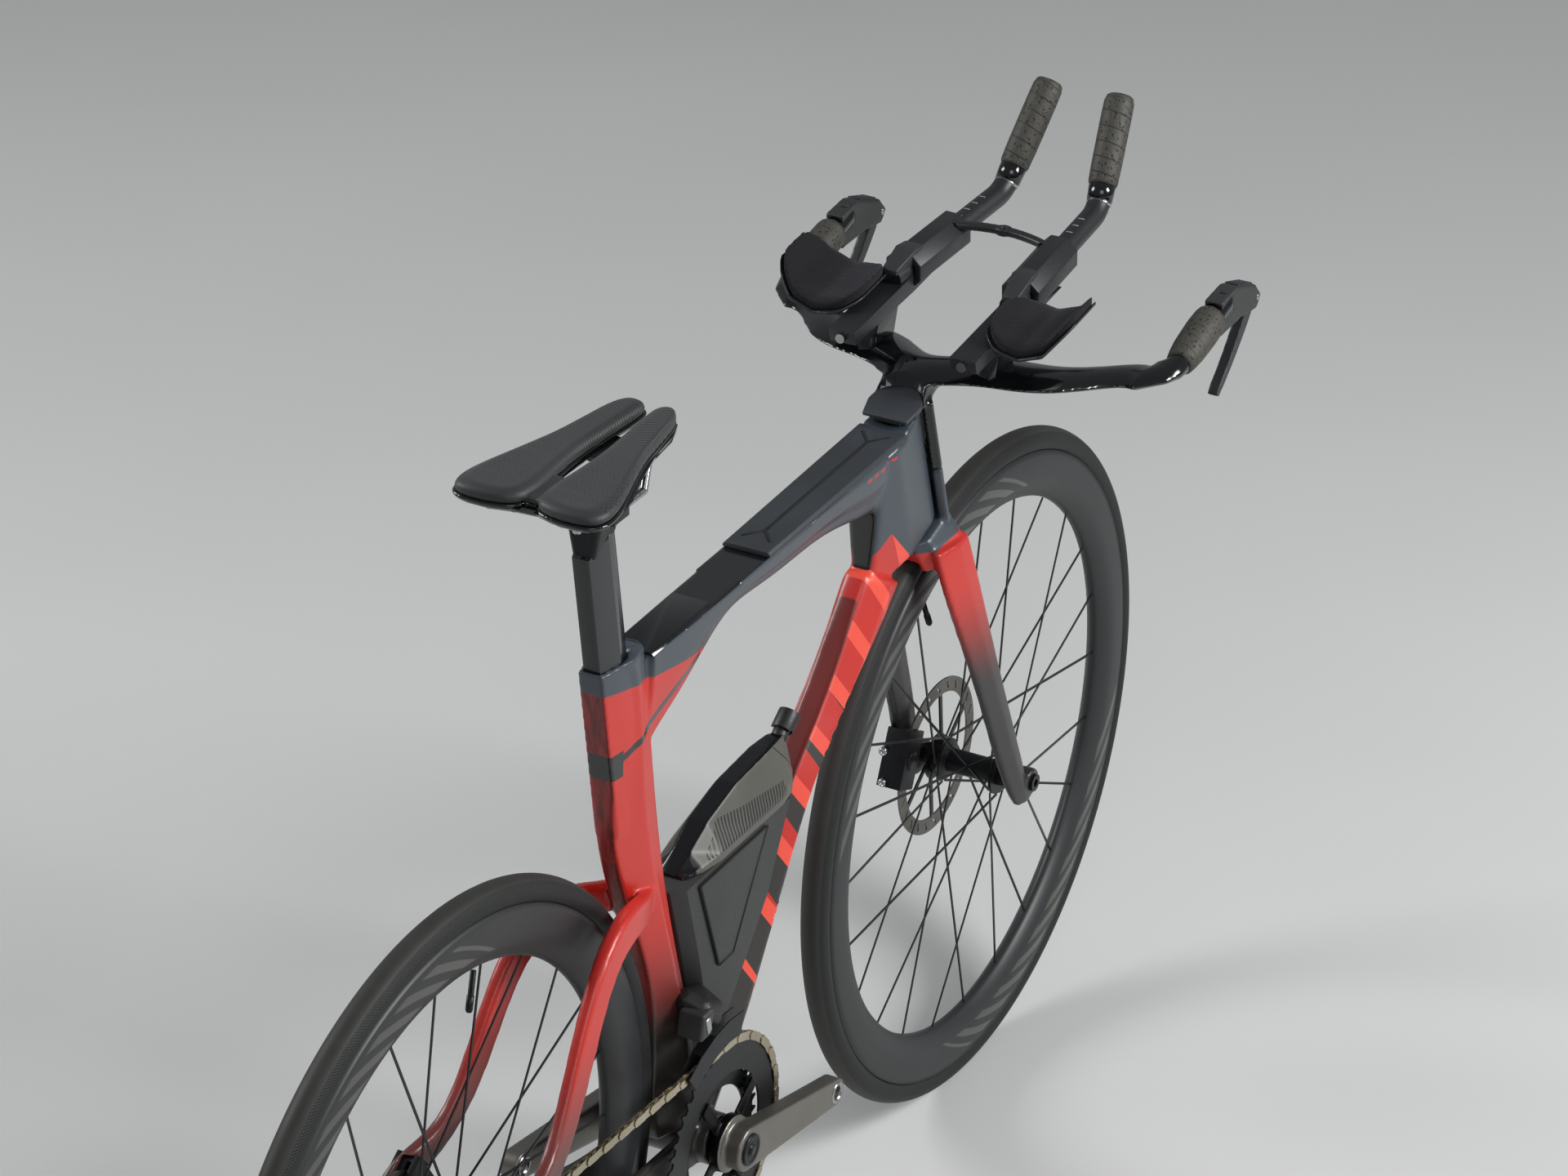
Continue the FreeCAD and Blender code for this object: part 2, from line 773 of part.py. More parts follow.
# Place along the tube, depth and width of each top tube section.
top_tube_shares = (
    (0.0, 2.0, 0.78),
    (0.067, 1.68, 0.8),
    (0.156, 1.36, 0.86),
    (0.282, 0.84, 0.9),
    (0.352, 0.68, 0.92),
    (0.483, 0.72, 0.96),
    (0.663, 0.8, 1.0),
    (0.844, 0.98, 1.04),
    (1.0, 1.2, 1.06),
)
top_run = top_front_x - top_rear_x


def top_height(x):
    """Height of the top tube's flat upper face."""
    return top_rear_z + (top_front_z - top_rear_z) * ((x - top_rear_x) / top_run)


top_sections = []
for along_share, depth_share, width_share in top_tube_shares:
    x = top_rear_x + top_run * along_share
    z = top_height(x)
    half = d.top_tube_half * width_share
    top_sections.append(kamm((x, z), (x, z - d.top_tube_depth * depth_share), half, half * 0.9, 0, 0.4, 0.7))
top_tube = loft(top_sections)
seat_tube_space = loft(seat_sections)
formed("top_tube", top_tube.cut(seat_tube_space))

# Rear point, chord, width and downward tilt of each down tube section.
down_tube_shares = (
    (1.0, 1.0, 1.44, 1.04, 0.308),
    (0.904, 0.907, 1.2, 1.0, 0.42),
    (0.753, 0.773, 0.9, 0.96, 0.467),
    (0.614, 0.671, 0.85, 0.98, 0.444),
    (0.414, 0.48, 0.97, 1.02, 0.393),
    (0.219, 0.298, 1.2, 1.1, 0.378),
    (-0.046, 0.068, 1.33, 1.17, 0.51),
)
down_run = down_top_x - bracket_x
down_rise = down_top_z - bracket_z
down_sections = []
for run_share, rise_share, chord_share, width_share, tilt_share in down_tube_shares:
    rear = (bracket_x + down_run * run_share, bracket_z + down_rise * rise_share)
    tilt = tilt_share * math.pi / 2
    chord = d.down_tube_chord * chord_share
    front = (rear[0] + chord * math.cos(tilt), rear[1] - chord * math.sin(tilt))
    half = d.down_tube_half * width_share
    down_sections.append(kamm(rear, front, d.down_tube_rear_half, half, 0, 0.5, 0.8))
formed("down_tube", loft(down_sections).cut(shell_wide).cut(seat_tube_space))

# Height along the steering axis, depth behind it and width of each head tube section.
head_shares = ((0.0, 0.95, 0.94), (0.4, 1.05, 0.98), (1.0, 1.0, 1.06))
head_sections = []
for up_share, depth_share, width_share in head_shares:
    up = d.head_length * up_share
    half = d.head_half * width_share
    inner = [steer(up, 0, s * d.head_radius) for s in BOTH_SIDES]
    flank = [steer(up, -d.head_depth * 0.45, s * half) for s in BOTH_SIDES]
    tail = [steer(up, -d.head_depth * depth_share, s * d.down_tube_rear_half) for s in BOTH_SIDES]
    edges = [
        Part.LineSegment(tail[1], tail[0]),
        Part.LineSegment(tail[0], flank[0]),
        Part.LineSegment(flank[0], inner[0]),
        Part.Arc(inner[0], steer(up, d.head_radius), inner[1]),
        Part.LineSegment(inner[1], flank[1]),
        Part.LineSegment(flank[1], tail[1]),
    ]
    head_sections.append(Part.Wire([edge.toShape() for edge in edges]))
far = d.wheelbase
behind = Part.makeBox(far, far, far, Vector(top_front_x - far, -far / 2, 0))
head_cut_tilt = down_tube_shares[0][4] * 90
below = Part.makeBox(far, far, far, Vector(-far / 2, -far / 2, -far))
below.rotate(Vector(), Vector(0, 1, 0), head_cut_tilt)
below.translate(Vector(down_top_x, 0, down_top_z))
bore_tool = rod(steer(-d.cut_overrun), steer(d.head_length + d.cut_overrun), d.steerer_radius + d.seam_gap)
lower_seat = rod(steer(-d.cut_overrun), steer(d.bearing_height), d.bearing_radius + d.fit_gap)
upper_seat = rod(
    steer(d.head_length - d.bearing_height), steer(d.head_length + d.cut_overrun), d.bearing_radius + d.fit_gap
)
head_shape = loft(head_sections, True).cut([behind, below, bore_tool, lower_seat, upper_seat])


def bearing(up):
    """A headset bearing ring that starts at a height on the steering axis."""
    ring = rod(steer(up), steer(up + d.bearing_height), d.bearing_radius)
    return ring.cut(rod(steer(up), steer(up + d.bearing_height), d.steerer_radius + d.fit_gap))


turned(
    "bottom_bracket_shell",
    [
        (d.cup_radius, -d.shell_half),
        (d.shell_radius, -d.shell_half),
        (d.shell_radius, d.shell_half),
        (d.cup_radius, d.shell_half),
    ],
    bracket_x,
    bracket_z,
)
spindle_bore = d.spindle_radius + d.fit_gap
cup_rings = []
for side in BOTH_SIDES:
    outer_face = side * d.shell_half
    inner_face = side * (d.shell_half - d.cup_width)
    ring = cross_rod(bracket_x, bracket_z, d.cup_radius - d.fit_gap, inner_face, outer_face)
    cup_rings.append(ring.cut(cross_rod(bracket_x, bracket_z, spindle_bore, inner_face, outer_face)))
headset_rings = [bearing(0), bearing(d.head_length - d.bearing_height)]
formed("frame_bearings", Part.makeCompound(headset_rings + cup_rings))

# Chain stays: place along the stay, offset from the middle, height and thickness.
chain_stay_shares = (
    (0.02, 0.36, 0.0, 1.35, 1.0),
    (0.31, 0.36, 0.1, 1.1, 1.0),
    (0.6, 0.67, 0.43, 0.95, 0.95),
    (0.84, 1.0, 0.81, 0.9, 0.57),
    (0.97, 1.0, 0.97, 0.85, 0.57),
)
dropout_middle = d.dropout_inside + d.dropout_thickness / 2
stay_run = rear_x - bracket_x
stay_climb = axle_z - bracket_z
upward = Vector(0, 0, 1)
sideways = Vector(0, 1, 0)
chain_sections = []
for along_share, out_share, up_share, depth_share, thick_share in chain_stay_shares:
    centre = Vector(
        bracket_x + stay_run * along_share, dropout_middle * out_share, bracket_z + stay_climb * up_share
    )
    half_up = d.stay_depth / 2 * depth_share
    half_out = d.stay_thickness / 2 * thick_share * min(1, 2 * out_share)
    chain_sections.append(octagon(centre, upward, sideways, half_up, half_out))
dropout = cross_rod(rear_x, axle_z, d.dropout_radius, d.dropout_inside, dropout_outside)
axle_hole = cross_rod(rear_x, axle_z, d.axle_radius + d.fit_gap, 0, dropout_outside + d.cut_overrun)
hub_room = cross_rod(rear_x, axle_z, d.rear_room_radius, 0, d.rear_room_half)
hub_room = hub_room.fuse(cross_rod(rear_x, axle_z, d.hub_flange_radius, 0, d.dropout_inside))
chain_stay = loft(chain_sections).cut([shell_wide, hub_room]).fuse(dropout).cut(axle_hole).removeSplitter()
hanger = slab(
    [
        (rear_x - d.hanger_half, axle_z),
        (rear_x - d.hanger_half, axle_z - d.hanger_drop),
        (rear_x + d.hanger_half, axle_z - d.hanger_drop),
        (rear_x + d.hanger_half, axle_z),
    ],
    -dropout_outside, -d.dropout_inside,
)
right_stay = mirror(chain_stay).fuse(hanger).cut(mirror(axle_hole)).removeSplitter()
formed("chain_stays", Part.makeCompound([chain_stay, right_stay]))

# Seat stays: run and drop from the seat tube to the dropout, offset, depth and thickness.
seat_stay_shares = (
    (0.0, 0.0, 0.1, 0.9, 1.0),
    (0.14, -0.03, 0.33, 0.95, 1.05),
    (0.33, -0.05, 0.5, 1.05, 1.05),
    (0.47, 0.13, 0.58, 1.0, 0.95),
    (0.74, 0.66, 0.72, 0.9, 0.9),
    (0.97, 0.97, 1.0, 0.75, 0.95),
)
root_x = seat_top_x + d.stay_root_run
root_z = seat_top_z - d.stay_root_drop
seat_run = rear_x - root_x
seat_drop = axle_z - root_z
stay_points = []
for run_share, drop_share, out_share, depth_share, thick_share in seat_stay_shares:
    x = root_x + seat_run * run_share
    stay_points.append(Vector(x, dropout_middle * out_share, root_z + seat_drop * drop_share))
stay_sections = []
for index, (point, shares) in enumerate(zip(stay_points, seat_stay_shares)):
    before = stay_points[max(index - 1, 0)]
    after = stay_points[min(index + 1, len(stay_points) - 1)]
    heading = Vector(after.x - before.x, 0, after.z - before.z).normalize()
    upright = Vector(heading.z, 0, -heading.x)
    half_up = d.stay_depth / 2 * shares[3]
    half_out = d.stay_thickness / 2 * shares[4] * min(1, shares[2] * 8)
    stay_sections.append(octagon(point, upright, sideways, half_up, half_out))
seat_stay = loft(stay_sections).cut([seat_tube_space, chain_stay, hub_room, dropout, axle_hole])
formed("seat_stays", pair(max(seat_stay.Solids, key=lambda solid: solid.Volume)))

# Covers on the top tube
lid_front_x = head_bottom.x - d.lid_front_back
lid_ends = []
for x, taper in ((lid_front_x - d.lid_length, d.lid_taper), (lid_front_x, 0)):
    low = top_height(x)
    half = d.lid_half - taper
    shoulder = half - d.lid_thickness / 2
    lid_ends.append(
        polygon(
            [
                Vector(x, -half, low),
                Vector(x, half, low),
                Vector(x, half, low + d.lid_thickness / 2),
                Vector(x, shoulder, low + d.lid_thickness),
                Vector(x, -shoulder, low + d.lid_thickness),
                Vector(x, -half, low + d.lid_thickness / 2),
            ]
        )
    )
lid_space = rod(steer(0), steer(d.head_length * 2), d.stem_half + d.cut_overrun)
lid = loft(lid_ends, True).cut(lid_space)
formed("storage_lid", lid)
formed("head_tube", head_shape.cut(lid))
plate_rear_x = top_rear_x - d.plate_rear_overlap
plate_ends = []
for x in (plate_rear_x, plate_rear_x + d.plate_length):
    low = top_height(x)
    corner = d.plate_half - d.plate_thickness
    plate_ends.append(
        polygon(
            [
                Vector(x, -d.plate_half, low),
                Vector(x, d.plate_half, low),
                Vector(x, corner, low + d.plate_thickness),
                Vector(x, -corner, low + d.plate_thickness),
            ]
        )
    )
formed("top_tube_plate", loft(plate_ends, True).cut(seat_tube_space))

# Seat post, clamp wedge and saddle
post_head_x = post_rear(post_top_z) + d.post_chord / 2
saddle_nose_x = post_head_x + d.saddle_nose_forward
head_block = octagon(
    Vector(post_head_x, 0, post_top_z), Vector(1, 0, 0), sideways, d.clamp_length / 2, d.post_half
)
head_top = rail_z - d.rail_radius - d.clamp_thickness / 2
post_head = Part.Face(head_block).extrude(Vector(0, 0, head_top - post_top_z))
formed("seatpost", post_solid(post_bottom_z, post_top_z, 0).fuse(post_head).removeSplitter())
formed("seat_clamp", wedge)

rail_shell_height = saddle_top_z - d.saddle_pad_thickness - d.saddle_shell_thickness / 2
rail_front_x = saddle_nose_x - d.saddle_length * 0.16
rail_rear_x = saddle_nose_x - d.saddle_length * 0.88
rail_bend_front = post_head_x + d.clamp_length
rail_bend_rear = post_head_x - d.clamp_length * 0.75
rail_points = [
    Vector(rail_rear_x, d.rail_half_gap, rail_shell_height),
    Vector(rail_bend_rear, d.rail_half_gap, rail_z),
    Vector(rail_bend_front, d.rail_half_gap, rail_z),
    Vector(rail_front_x, d.rail_half_gap * 0.7, rail_shell_height),
]
rail = rod(rail_points[0], rail_points[1], d.rail_radius)
for start, end in zip(rail_points[1:], rail_points[2:]):
    rail = rail.fuse(rod(start, end, d.rail_radius))
for point in rail_points[1:3]:
    rail = rail.fuse(Part.makeSphere(d.rail_radius, point))
rail = rail.removeSplitter()
rails = pair(rail)
formed("saddle_rails", rails)
cradle = octagon(
    Vector(post_head_x, 0, head_top), Vector(1, 0, 0), sideways, d.clamp_length / 2, d.clamp_half
)
cradle = Part.Face(cradle).extrude(Vector(0, 0, d.rail_radius * 2 + d.clamp_thickness))
formed("saddle_clamp", cradle.cut(rails))

# Saddle half outline: share of the length behind the nose, share of the half width.
saddle_shares = (
    (0.01, 0.1), (0.0, 0.22), (0.03, 0.36), (0.12, 0.47), (0.3, 0.55), (0.52, 0.75),
    (0.7, 0.95), (0.85, 1.0), (0.95, 0.86), (1.0, 0.5), (0.97, 0.07), (0.7, 0.06), (0.3, 0.06),
)


def saddle_outline(z, shrink_share):
    """One half of the saddle in plan, drawn in toward its middle."""
    points = []
    for back_share, out_share in saddle_shares:
        back = 0.5 + (back_share - 0.5) * (1 - shrink_share * 0.25)
        out = 0.45 + (out_share - 0.45) * (1 - shrink_share)
        points.append(Vector(saddle_nose_x - d.saddle_length * back, d.saddle_half * out, z))
    return polygon(points)


pad_base = saddle_top_z - d.saddle_pad_thickness
# Height in the pad and drawing-in of each cushion section.
cushion_shares = ((0.0, 0.06), (0.35, 0.0), (0.75, 0.06), (1.0, 0.24))
cushion = loft(
    [saddle_outline(pad_base + d.saddle_pad_thickness * up, shrink) for up, shrink in cushion_shares], True
)
formed("saddle_pad", pair(cushion))
shell_base = pad_base - d.saddle_shell_thickness
shell_half_plate = loft([saddle_outline(shell_base, 0.2), saddle_outline(pad_base, 0.06)], True)
tie = Part.makeBox(
    d.saddle_length * 0.2,
    d.saddle_half * 0.4,
    d.saddle_shell_thickness,
    Vector(saddle_nose_x - d.saddle_length * 0.94, -d.saddle_half * 0.2, shell_base),
)
nose_tie = Part.makeBox(
    d.saddle_length * 0.2,
    d.saddle_half * 0.4,
    d.saddle_shell_thickness,
    Vector(saddle_nose_x - d.saddle_length * 0.44, -d.saddle_half * 0.2, shell_base),
)
saddle_shell = shell_half_plate.fuse([mirror(shell_half_plate), tie, nose_tie]).removeSplitter()
formed("saddle_shell", saddle_shell.cut(rails))

# Fork: height, lag behind the axle, offset, chord and width of each leg section.
fork_leg_shares = (
    (0.945, -0.939, 0.59, 1.26, 1.15),
    (0.794, -0.861, 0.73, 1.24, 1.1),
    (0.539, -0.645, 0.852, 1.02, 1.0),
    (0.261, -0.382, 0.922, 0.89, 1.0),
    (0.015, -0.149, 1.0, 0.7, 1.0),
    (-0.055, -0.054, 1.0, 0.52, 0.95),
)
leg_rise = head_bottom.z - axle_z
leg_run = front_x - head_bottom.x
leg_middle = d.fork_inside + d.fork_leg_half
leg_sections = []
for rise_share, lag_share, out_share, chord_share, width_share in fork_leg_shares:
    z = axle_z + leg_rise * rise_share
    middle = front_x + leg_run * lag_share
    half_chord = d.fork_leg_chord * chord_share / 2
    ends = ((middle - half_chord, z), (middle + half_chord, z))
    leg_sections.append(
        kamm(ends[0], ends[1], d.fork_leg_rear_half, d.fork_leg_half * width_share, leg_middle * out_share)
    )
fork_boss = cross_rod(front_x, axle_z, d.dropout_radius * 0.85, d.fork_inside, fork_outside)
front_hub_room = cross_rod(front_x, axle_z, d.dropout_radius * 2, 0, d.fork_inside)
front_axle_hole = cross_rod(front_x, axle_z, d.axle_radius + d.fit_gap, 0, fork_outside + d.cut_overrun)
fork_leg = loft(leg_sections).cut(front_hub_room).fuse(fork_boss).cut(front_axle_hole)
crown_sections = []
for up, half in ((-d.fork_seam, d.crown_top_half), (-d.fork_seam - d.crown_depth, d.crown_bottom_half)):
    crown_sections.append(
        octagon(steer(up, d.fork_seam * 2), steer_forward, sideways, d.crown_half_length, half)
    )
arch = cross_rod(
    front_x, axle_z, d.wheel_radius + d.crown_arch_gap, -d.crown_arch_half, d.crown_arch_half
)
crown = loft(crown_sections, True)
steerer_top = d.head_length + d.stem_cap_thickness
steerer = rod(steer(-d.crown_depth / 2), steer(steerer_top), d.steerer_radius)


def fairing(low, high):
    """A shell round the front of the head tube, between two heights on the steering axis."""
    shell = rod(steer(low), steer(high), d.nose_outer_radius)
    shell = shell.cut(rod(steer(low), steer(high), d.nose_inner_radius))
    reach = d.nose_outer_radius * 2
    spread = math.radians(d.nose_half_angle)
    corners = [steer(low)]
    for side in BOTH_SIDES:
        corners.append(steer(low, reach * math.cos(spread), side * reach * math.sin(spread)))
    wedge_prism = Part.Face(polygon(corners)).extrude(steer_up * (high - low))
    return shell.common(wedge_prism)


fork = crown.fuse([fork_leg, mirror(fork_leg), steerer, fairing(-d.fork_seam * 4, d.nose_height)])
fork = fork.cut(arch).removeSplitter()
formed("fork", fork)


def make_caliper(label, x, rotor_y, rotor_radius, turn, outside, neighbours):
    """A brake caliper over the disc's edge, with a pad on each side of the disc."""
    radial = Vector(math.cos(turn), 0, math.sin(turn))
    tangent = Vector(-math.sin(turn), 0, math.cos(turn))
    hub = Vector(x, 0, axle_z)
    bridge_radius = rotor_radius + d.rotor_edge_gap
    inner_radius = bridge_radius + d.caliper_corner - d.caliper_height

    def block(r_from, r_to, y_from, y_to, length):
        half = tangent * (length / 2)
        low = hub + radial * r_from + Vector(0, y_from, 0)
        wire = polygon([low - half, low + half, low + half + radial * (r_to - r_from), low - half + radial * (r_to - r_from)])
        return Part.Face(wire).extrude(Vector(0, y_to - y_from, 0))

    inside = rotor_y - d.caliper_half_width
    body = block(inner_radius, bridge_radius + d.caliper_corner, inside, outside, d.caliper_length)
    slot = block(
        inner_radius - d.cut_overrun, bridge_radius,
        rotor_y - d.caliper_slot_half, rotor_y + d.caliper_slot_half, d.caliper_length * 2,
    )
    body = body.cut([slot] + neighbours)
    pads = []
    for side in BOTH_SIDES:
        face = rotor_y + side * (d.caliper_slot_half - d.brake_pad_thickness)
        back = rotor_y + side * d.caliper_slot_half
        pads.append(
            block(
                bridge_radius - d.brake_pad_height, bridge_radius - d.brake_pad_recess,
                min(face, back), max(face, back), d.brake_pad_length,
            )
        )
    body = max(body.Solids, key=lambda solid: solid.Volume)
    return formed(label, Part.makeCompound([body] + pads))


make_caliper(
    "front_caliper", front_x, d.front_rotor_offset, d.front_rotor_radius,
    math.radians(d.front_caliper_turn), d.fork_inside + d.fork_leg_half, [fork],
)
make_caliper(
    "rear_caliper", rear_x, d.rear_rotor_offset, d.rear_rotor_radius,
    math.radians(d.rear_caliper_turn), d.dropout_inside, [chain_stay, seat_stay],
)

# Stem and base bar
stem_low = d.head_length + d.fork_seam
stem_middle = (d.stem_front - d.stem_rear) / 2
stem_half_length = (d.stem_front + d.stem_rear) / 2
wing_middle_x = wing_rear_x + d.wing_chord / 2
stem_sections = [
    octagon(steer(stem_low, stem_middle), steer_forward, sideways, stem_half_length, d.stem_half),
    octagon(
        Vector(wing_middle_x, 0, wing_z), Vector(1, 0, 0), sideways, d.wing_chord * 0.45, d.stem_half * 0.9
    ),
]
# Place along the half span, step forward of the rear edge, chord, thickness and drop of the wing.
wing_shares = (
    (0.0, 0.0, 1.0, 1.0, 0.0),
    (0.14, 0.14, 0.99, 0.95, 0.1),
    (0.39, 0.38, 0.95, 0.85, 0.25),
    (0.79, 0.75, 0.85, 0.75, 0.4),
    (1.0, 1.0, 0.74, 0.85, 0.45),
)
wing_sweep = bar_end_x - wing_rear_x - d.wing_chord * 0.85


def wing_section(shares, side):
    """A wing section on one side."""
    out_share, step_share, chord_share, thick_share, drop_share = shares
    rear = wing_rear_x + wing_sweep * step_share
    z = wing_z - d.wing_thickness * drop_share
    front = rear + d.wing_chord * chord_share
    return lens((rear, z), (front, z), d.wing_thickness * thick_share, side * d.wing_reach * out_share)


def bar_point(along, side=1):
    """A point on a bar end's axis, a length along it."""
    way = Vector(d.grip_length, 0, d.grip_rise).normalize()
    return Vector(bar_end_x, side * d.grip_offset, bar_end_z) + way * along


bar_way = (bar_point(1) - bar_point(0)).normalize()
wing_right = [wing_section(shares, -1) for shares in reversed(wing_shares[1:])]
wing_left = [wing_section(shares, 1) for shares in wing_shares]
wing = loft(wing_right + wing_left)
# Elbow sections: way toward the bar end forward and outward, turn, chord and thickness.
elbow_shares = ((0.46, 0.58, 0.45, 1.9, 0.82), (0.74, 0.9, 0.73, 1.32, 0.93), (1.0, 1.0, 1.0, 1.0, 1.0))
tip_shares = wing_shares[-1]
tip_x = wing_rear_x + wing_sweep * tip_shares[1] + d.wing_chord * tip_shares[2] / 2
tip_z = wing_z - d.wing_thickness * tip_shares[4]
bar_tilt = math.atan2(d.grip_rise, d.grip_length)
elbow_sections = [wing_left[-1]]
for forward_share, outward_share, turn_share, chord_share, thick_share in elbow_shares:
    yaw = turn_share * math.pi / 2
    way = Vector(math.cos(yaw), -math.sin(yaw), 0) * (d.bar_end_radius * chord_share)
    lean = bar_tilt * forward_share
    rise = Vector(-math.sin(lean) * math.sin(yaw), 0, math.cos(lean)) * (d.bar_end_radius * thick_share)
    centre = Vector(
        tip_x + (bar_end_x - tip_x) * forward_share,
        d.wing_reach + (d.grip_offset - d.wing_reach) * outward_share,
        tip_z + (bar_end_z - tip_z) * forward_share,
    )
    elbow_sections.append(
        Part.Wire([
            Part.Arc(centre - way, centre + rise, centre + way).toShape(),
            Part.Arc(centre + way, centre - rise, centre - way).toShape(),
        ])
    )
elbow = loft(elbow_sections, True)
stub_end = d.grip_length + d.hood_length / 4
stub = rod(bar_point(0), bar_point(stub_end), d.bar_end_radius)
stem = loft(stem_sections, True)
skirt = fairing(d.nose_height + d.fork_seam * 2, stem_low + d.fork_seam * 2)
base_bar = wing.fuse([elbow, mirror(elbow), stub, mirror(stub), stem, skirt]).removeSplitter()
steerer_hole = rod(steer(0), steer(steerer_top), d.steerer_radius)
cap_low = steer(stem_low + d.stem_cap_thickness, -d.stem_rear * 0.9)
cap_high = Vector(wing_rear_x + d.stem_cap_thickness * 3, 0, wing_z + d.stem_cap_thickness)
cap_way = (cap_high - cap_low).normalize()
cap_out = Vector(-cap_way.z, 0, cap_way.x)
cap_middle = (cap_low + cap_high) * 0.5 - cap_out * (d.stem_cap_thickness / 2)
cap_face = octagon(cap_middle, cap_way, sideways, (cap_high - cap_low).Length / 2, d.stem_half * 0.62)
cap_plate = Part.Face(cap_face).extrude(cap_out * d.stem_cap_thickness)
base_bar = base_bar.cut([steerer_hole, cap_plate])
base_bar = max(base_bar.Solids, key=lambda solid: solid.Volume)
formed("stem_cap", cap_plate)

# Controls on the base bar
# Side outline of a hood: forward along the hood and height, as shares of its length and depth.
hood_shares = ((0.0, -0.55), (-0.02, 0.4), (0.35, 0.5), (0.82, 0.12), (0.98, -0.3), (0.88, -0.62), (0.5, -0.5))
hood_rear = bar_point(d.grip_length)


def hood_point(shares):
    """A hood outline point in the side view."""
    return (hood_rear.x + d.hood_length * shares[0], hood_rear.z + d.hood_depth * shares[1])


pivot_share = (0.89, -0.3)
pivot = hood_point(pivot_share)
hood = slab(
    [hood_point(shares) for shares in hood_shares], d.grip_offset - d.hood_half, d.grip_offset + d.hood_half
)
slot_shares = ((0.42, -1.5), (0.42, -0.36), (0.72, -0.06), (1.1, 0.0), (1.1, -1.5))
slot = slab(
    [hood_point(shares) for shares in slot_shares],
    d.grip_offset - d.lever_slot_half,
    d.grip_offset + d.lever_slot_half,
)
lever_pin = cross_rod(
    pivot[0], pivot[1], d.lever_pin_radius, d.grip_offset - d.hood_half, d.grip_offset + d.hood_half
)
hood = hood.cut(slot).fuse(lever_pin).cut(stub).removeSplitter()
formed("lever_bodies", pair(hood))
# Lever outline below and behind the pivot, as shares of its length.
lever_shares = (
    (0.055, 0.0), (0.04, 0.045), (-0.03, 0.055), (-0.12, -0.005), (-0.3, -0.2), (-0.53, -0.46), (-0.72, -0.66),
    (-0.75, -0.73), (-0.69, -0.76), (-0.48, -0.56), (-0.22, -0.3), (-0.02, -0.09),
)
lever = slab(
    [(pivot[0] + d.lever_length * a, pivot[1] + d.lever_length * b) for a, b in lever_shares],
    d.grip_offset - d.lever_half,
    d.grip_offset + d.lever_half,
)
lever = lever.cut(
    cross_rod(pivot[0], pivot[1], d.lever_pin_radius + d.fit_gap, 0, d.grip_offset + d.hood_half)
)
formed("brake_lever_left", lever)
formed("brake_lever_right", mirror(lever))

# Taped grips: place along the grip and radius.
grip_shares = ((0.04, 0.8), (0.3, 0.95), (0.7, 1.0), (0.92, 0.92))
tape_rings = []
for along_share, radius_share in grip_shares:
    centre = bar_point(d.grip_length * along_share)
    ring = Part.makeCircle(d.grip_radius * radius_share, centre, bar_way)
    tape_rings.append(Part.Wire([ring]))
bar_tape = loft(tape_rings).cut(stub)

# Aero extensions
extension_start = Vector(mount_rear_x + d.clamp_block_length, d.extension_offset, extension_z)
extension_bend = Vector(wing_rear_x + d.bend_forward, d.bend_offset, extension_z + d.bend_rise)
extension_tip = Vector(extension_bend.x + d.tip_forward, d.tip_offset, extension_bend.z + d.tip_rise)
first_way = (extension_bend - extension_start).normalize()
last_way = (extension_tip - extension_bend).normalize()
turn_angle = first_way.getAngle(last_way)
bend_reach = d.bend_radius * math.tan(turn_angle / 2)
bend_a = extension_bend - first_way * bend_reach
bend_b = extension_bend + last_way * bend_reach
bend_inward = (last_way - first_way).normalize()
bend_middle = extension_bend + bend_inward * (d.bend_radius * (1 / math.cos(turn_angle / 2) - 1))
spine = Part.Wire([
    Part.LineSegment(extension_start, bend_a).toShape(),
    Part.Arc(bend_a, bend_middle, bend_b).toShape(),
    Part.LineSegment(bend_b, extension_tip).toShape(),
])
extension_ring = Part.Wire([Part.makeCircle(d.extension_radius, extension_start, first_way)])
extension = spine.makePipeShell([extension_ring], True, False)
formed("extensions", pair(extension))
sleeve_start = extension_tip - last_way * d.extension_grip_length
sleeve = rod(sleeve_start, extension_tip, d.extension_grip_radius)
sleeve = sleeve.cut(rod(sleeve_start, extension_tip, d.extension_radius))
formed("grip_tape", Part.makeCompound([bar_tape, mirror(bar_tape), sleeve, mirror(sleeve)]))

# Risers, brackets and clamps under the extensions
bracket_low = d.extension_offset - d.bracket_half
bracket_high = d.extension_offset + d.bracket_half
clamp_front_x = clamp_rear_x + d.clamp_block_length
axis_rear_z = extension_z
axis_front_z = extension_start.z + first_way.z * d.clamp_block_length
beam = slab(
    [
        (mount_rear_x, mount_z - d.bracket_half),
        (mount_rear_x - d.bracket_half * 0.3, mount_z),
        (clamp_rear_x, axis_rear_z),
        (clamp_rear_x, axis_rear_z - d.clamp_block_half),
    ],
    bracket_low, bracket_high,
)
clamp_block = slab(
    [
        (clamp_rear_x, axis_rear_z - d.clamp_block_half),
        (clamp_rear_x, axis_rear_z + d.clamp_block_half * 0.9),
        (clamp_rear_x + d.clamp_block_half, axis_rear_z + d.clamp_block_half * 1.1),
        (clamp_front_x - d.clamp_block_half, axis_front_z + d.clamp_block_half),
        (clamp_front_x, axis_front_z + d.clamp_block_half * 0.6),
        (clamp_front_x, axis_front_z - d.clamp_block_half * 0.7),
    ],
    d.extension_offset - d.clamp_block_half, d.extension_offset + d.clamp_block_half,
)
clamp = beam.fuse(clamp_block).cut(extension).removeSplitter()
riser_low = octagon(
    Vector(riser_rear_x + d.riser_chord / 2, d.extension_offset, wing_z - d.wing_thickness / 4),
    Vector(1, 0, 0), sideways, d.riser_chord / 2, d.riser_half,
)
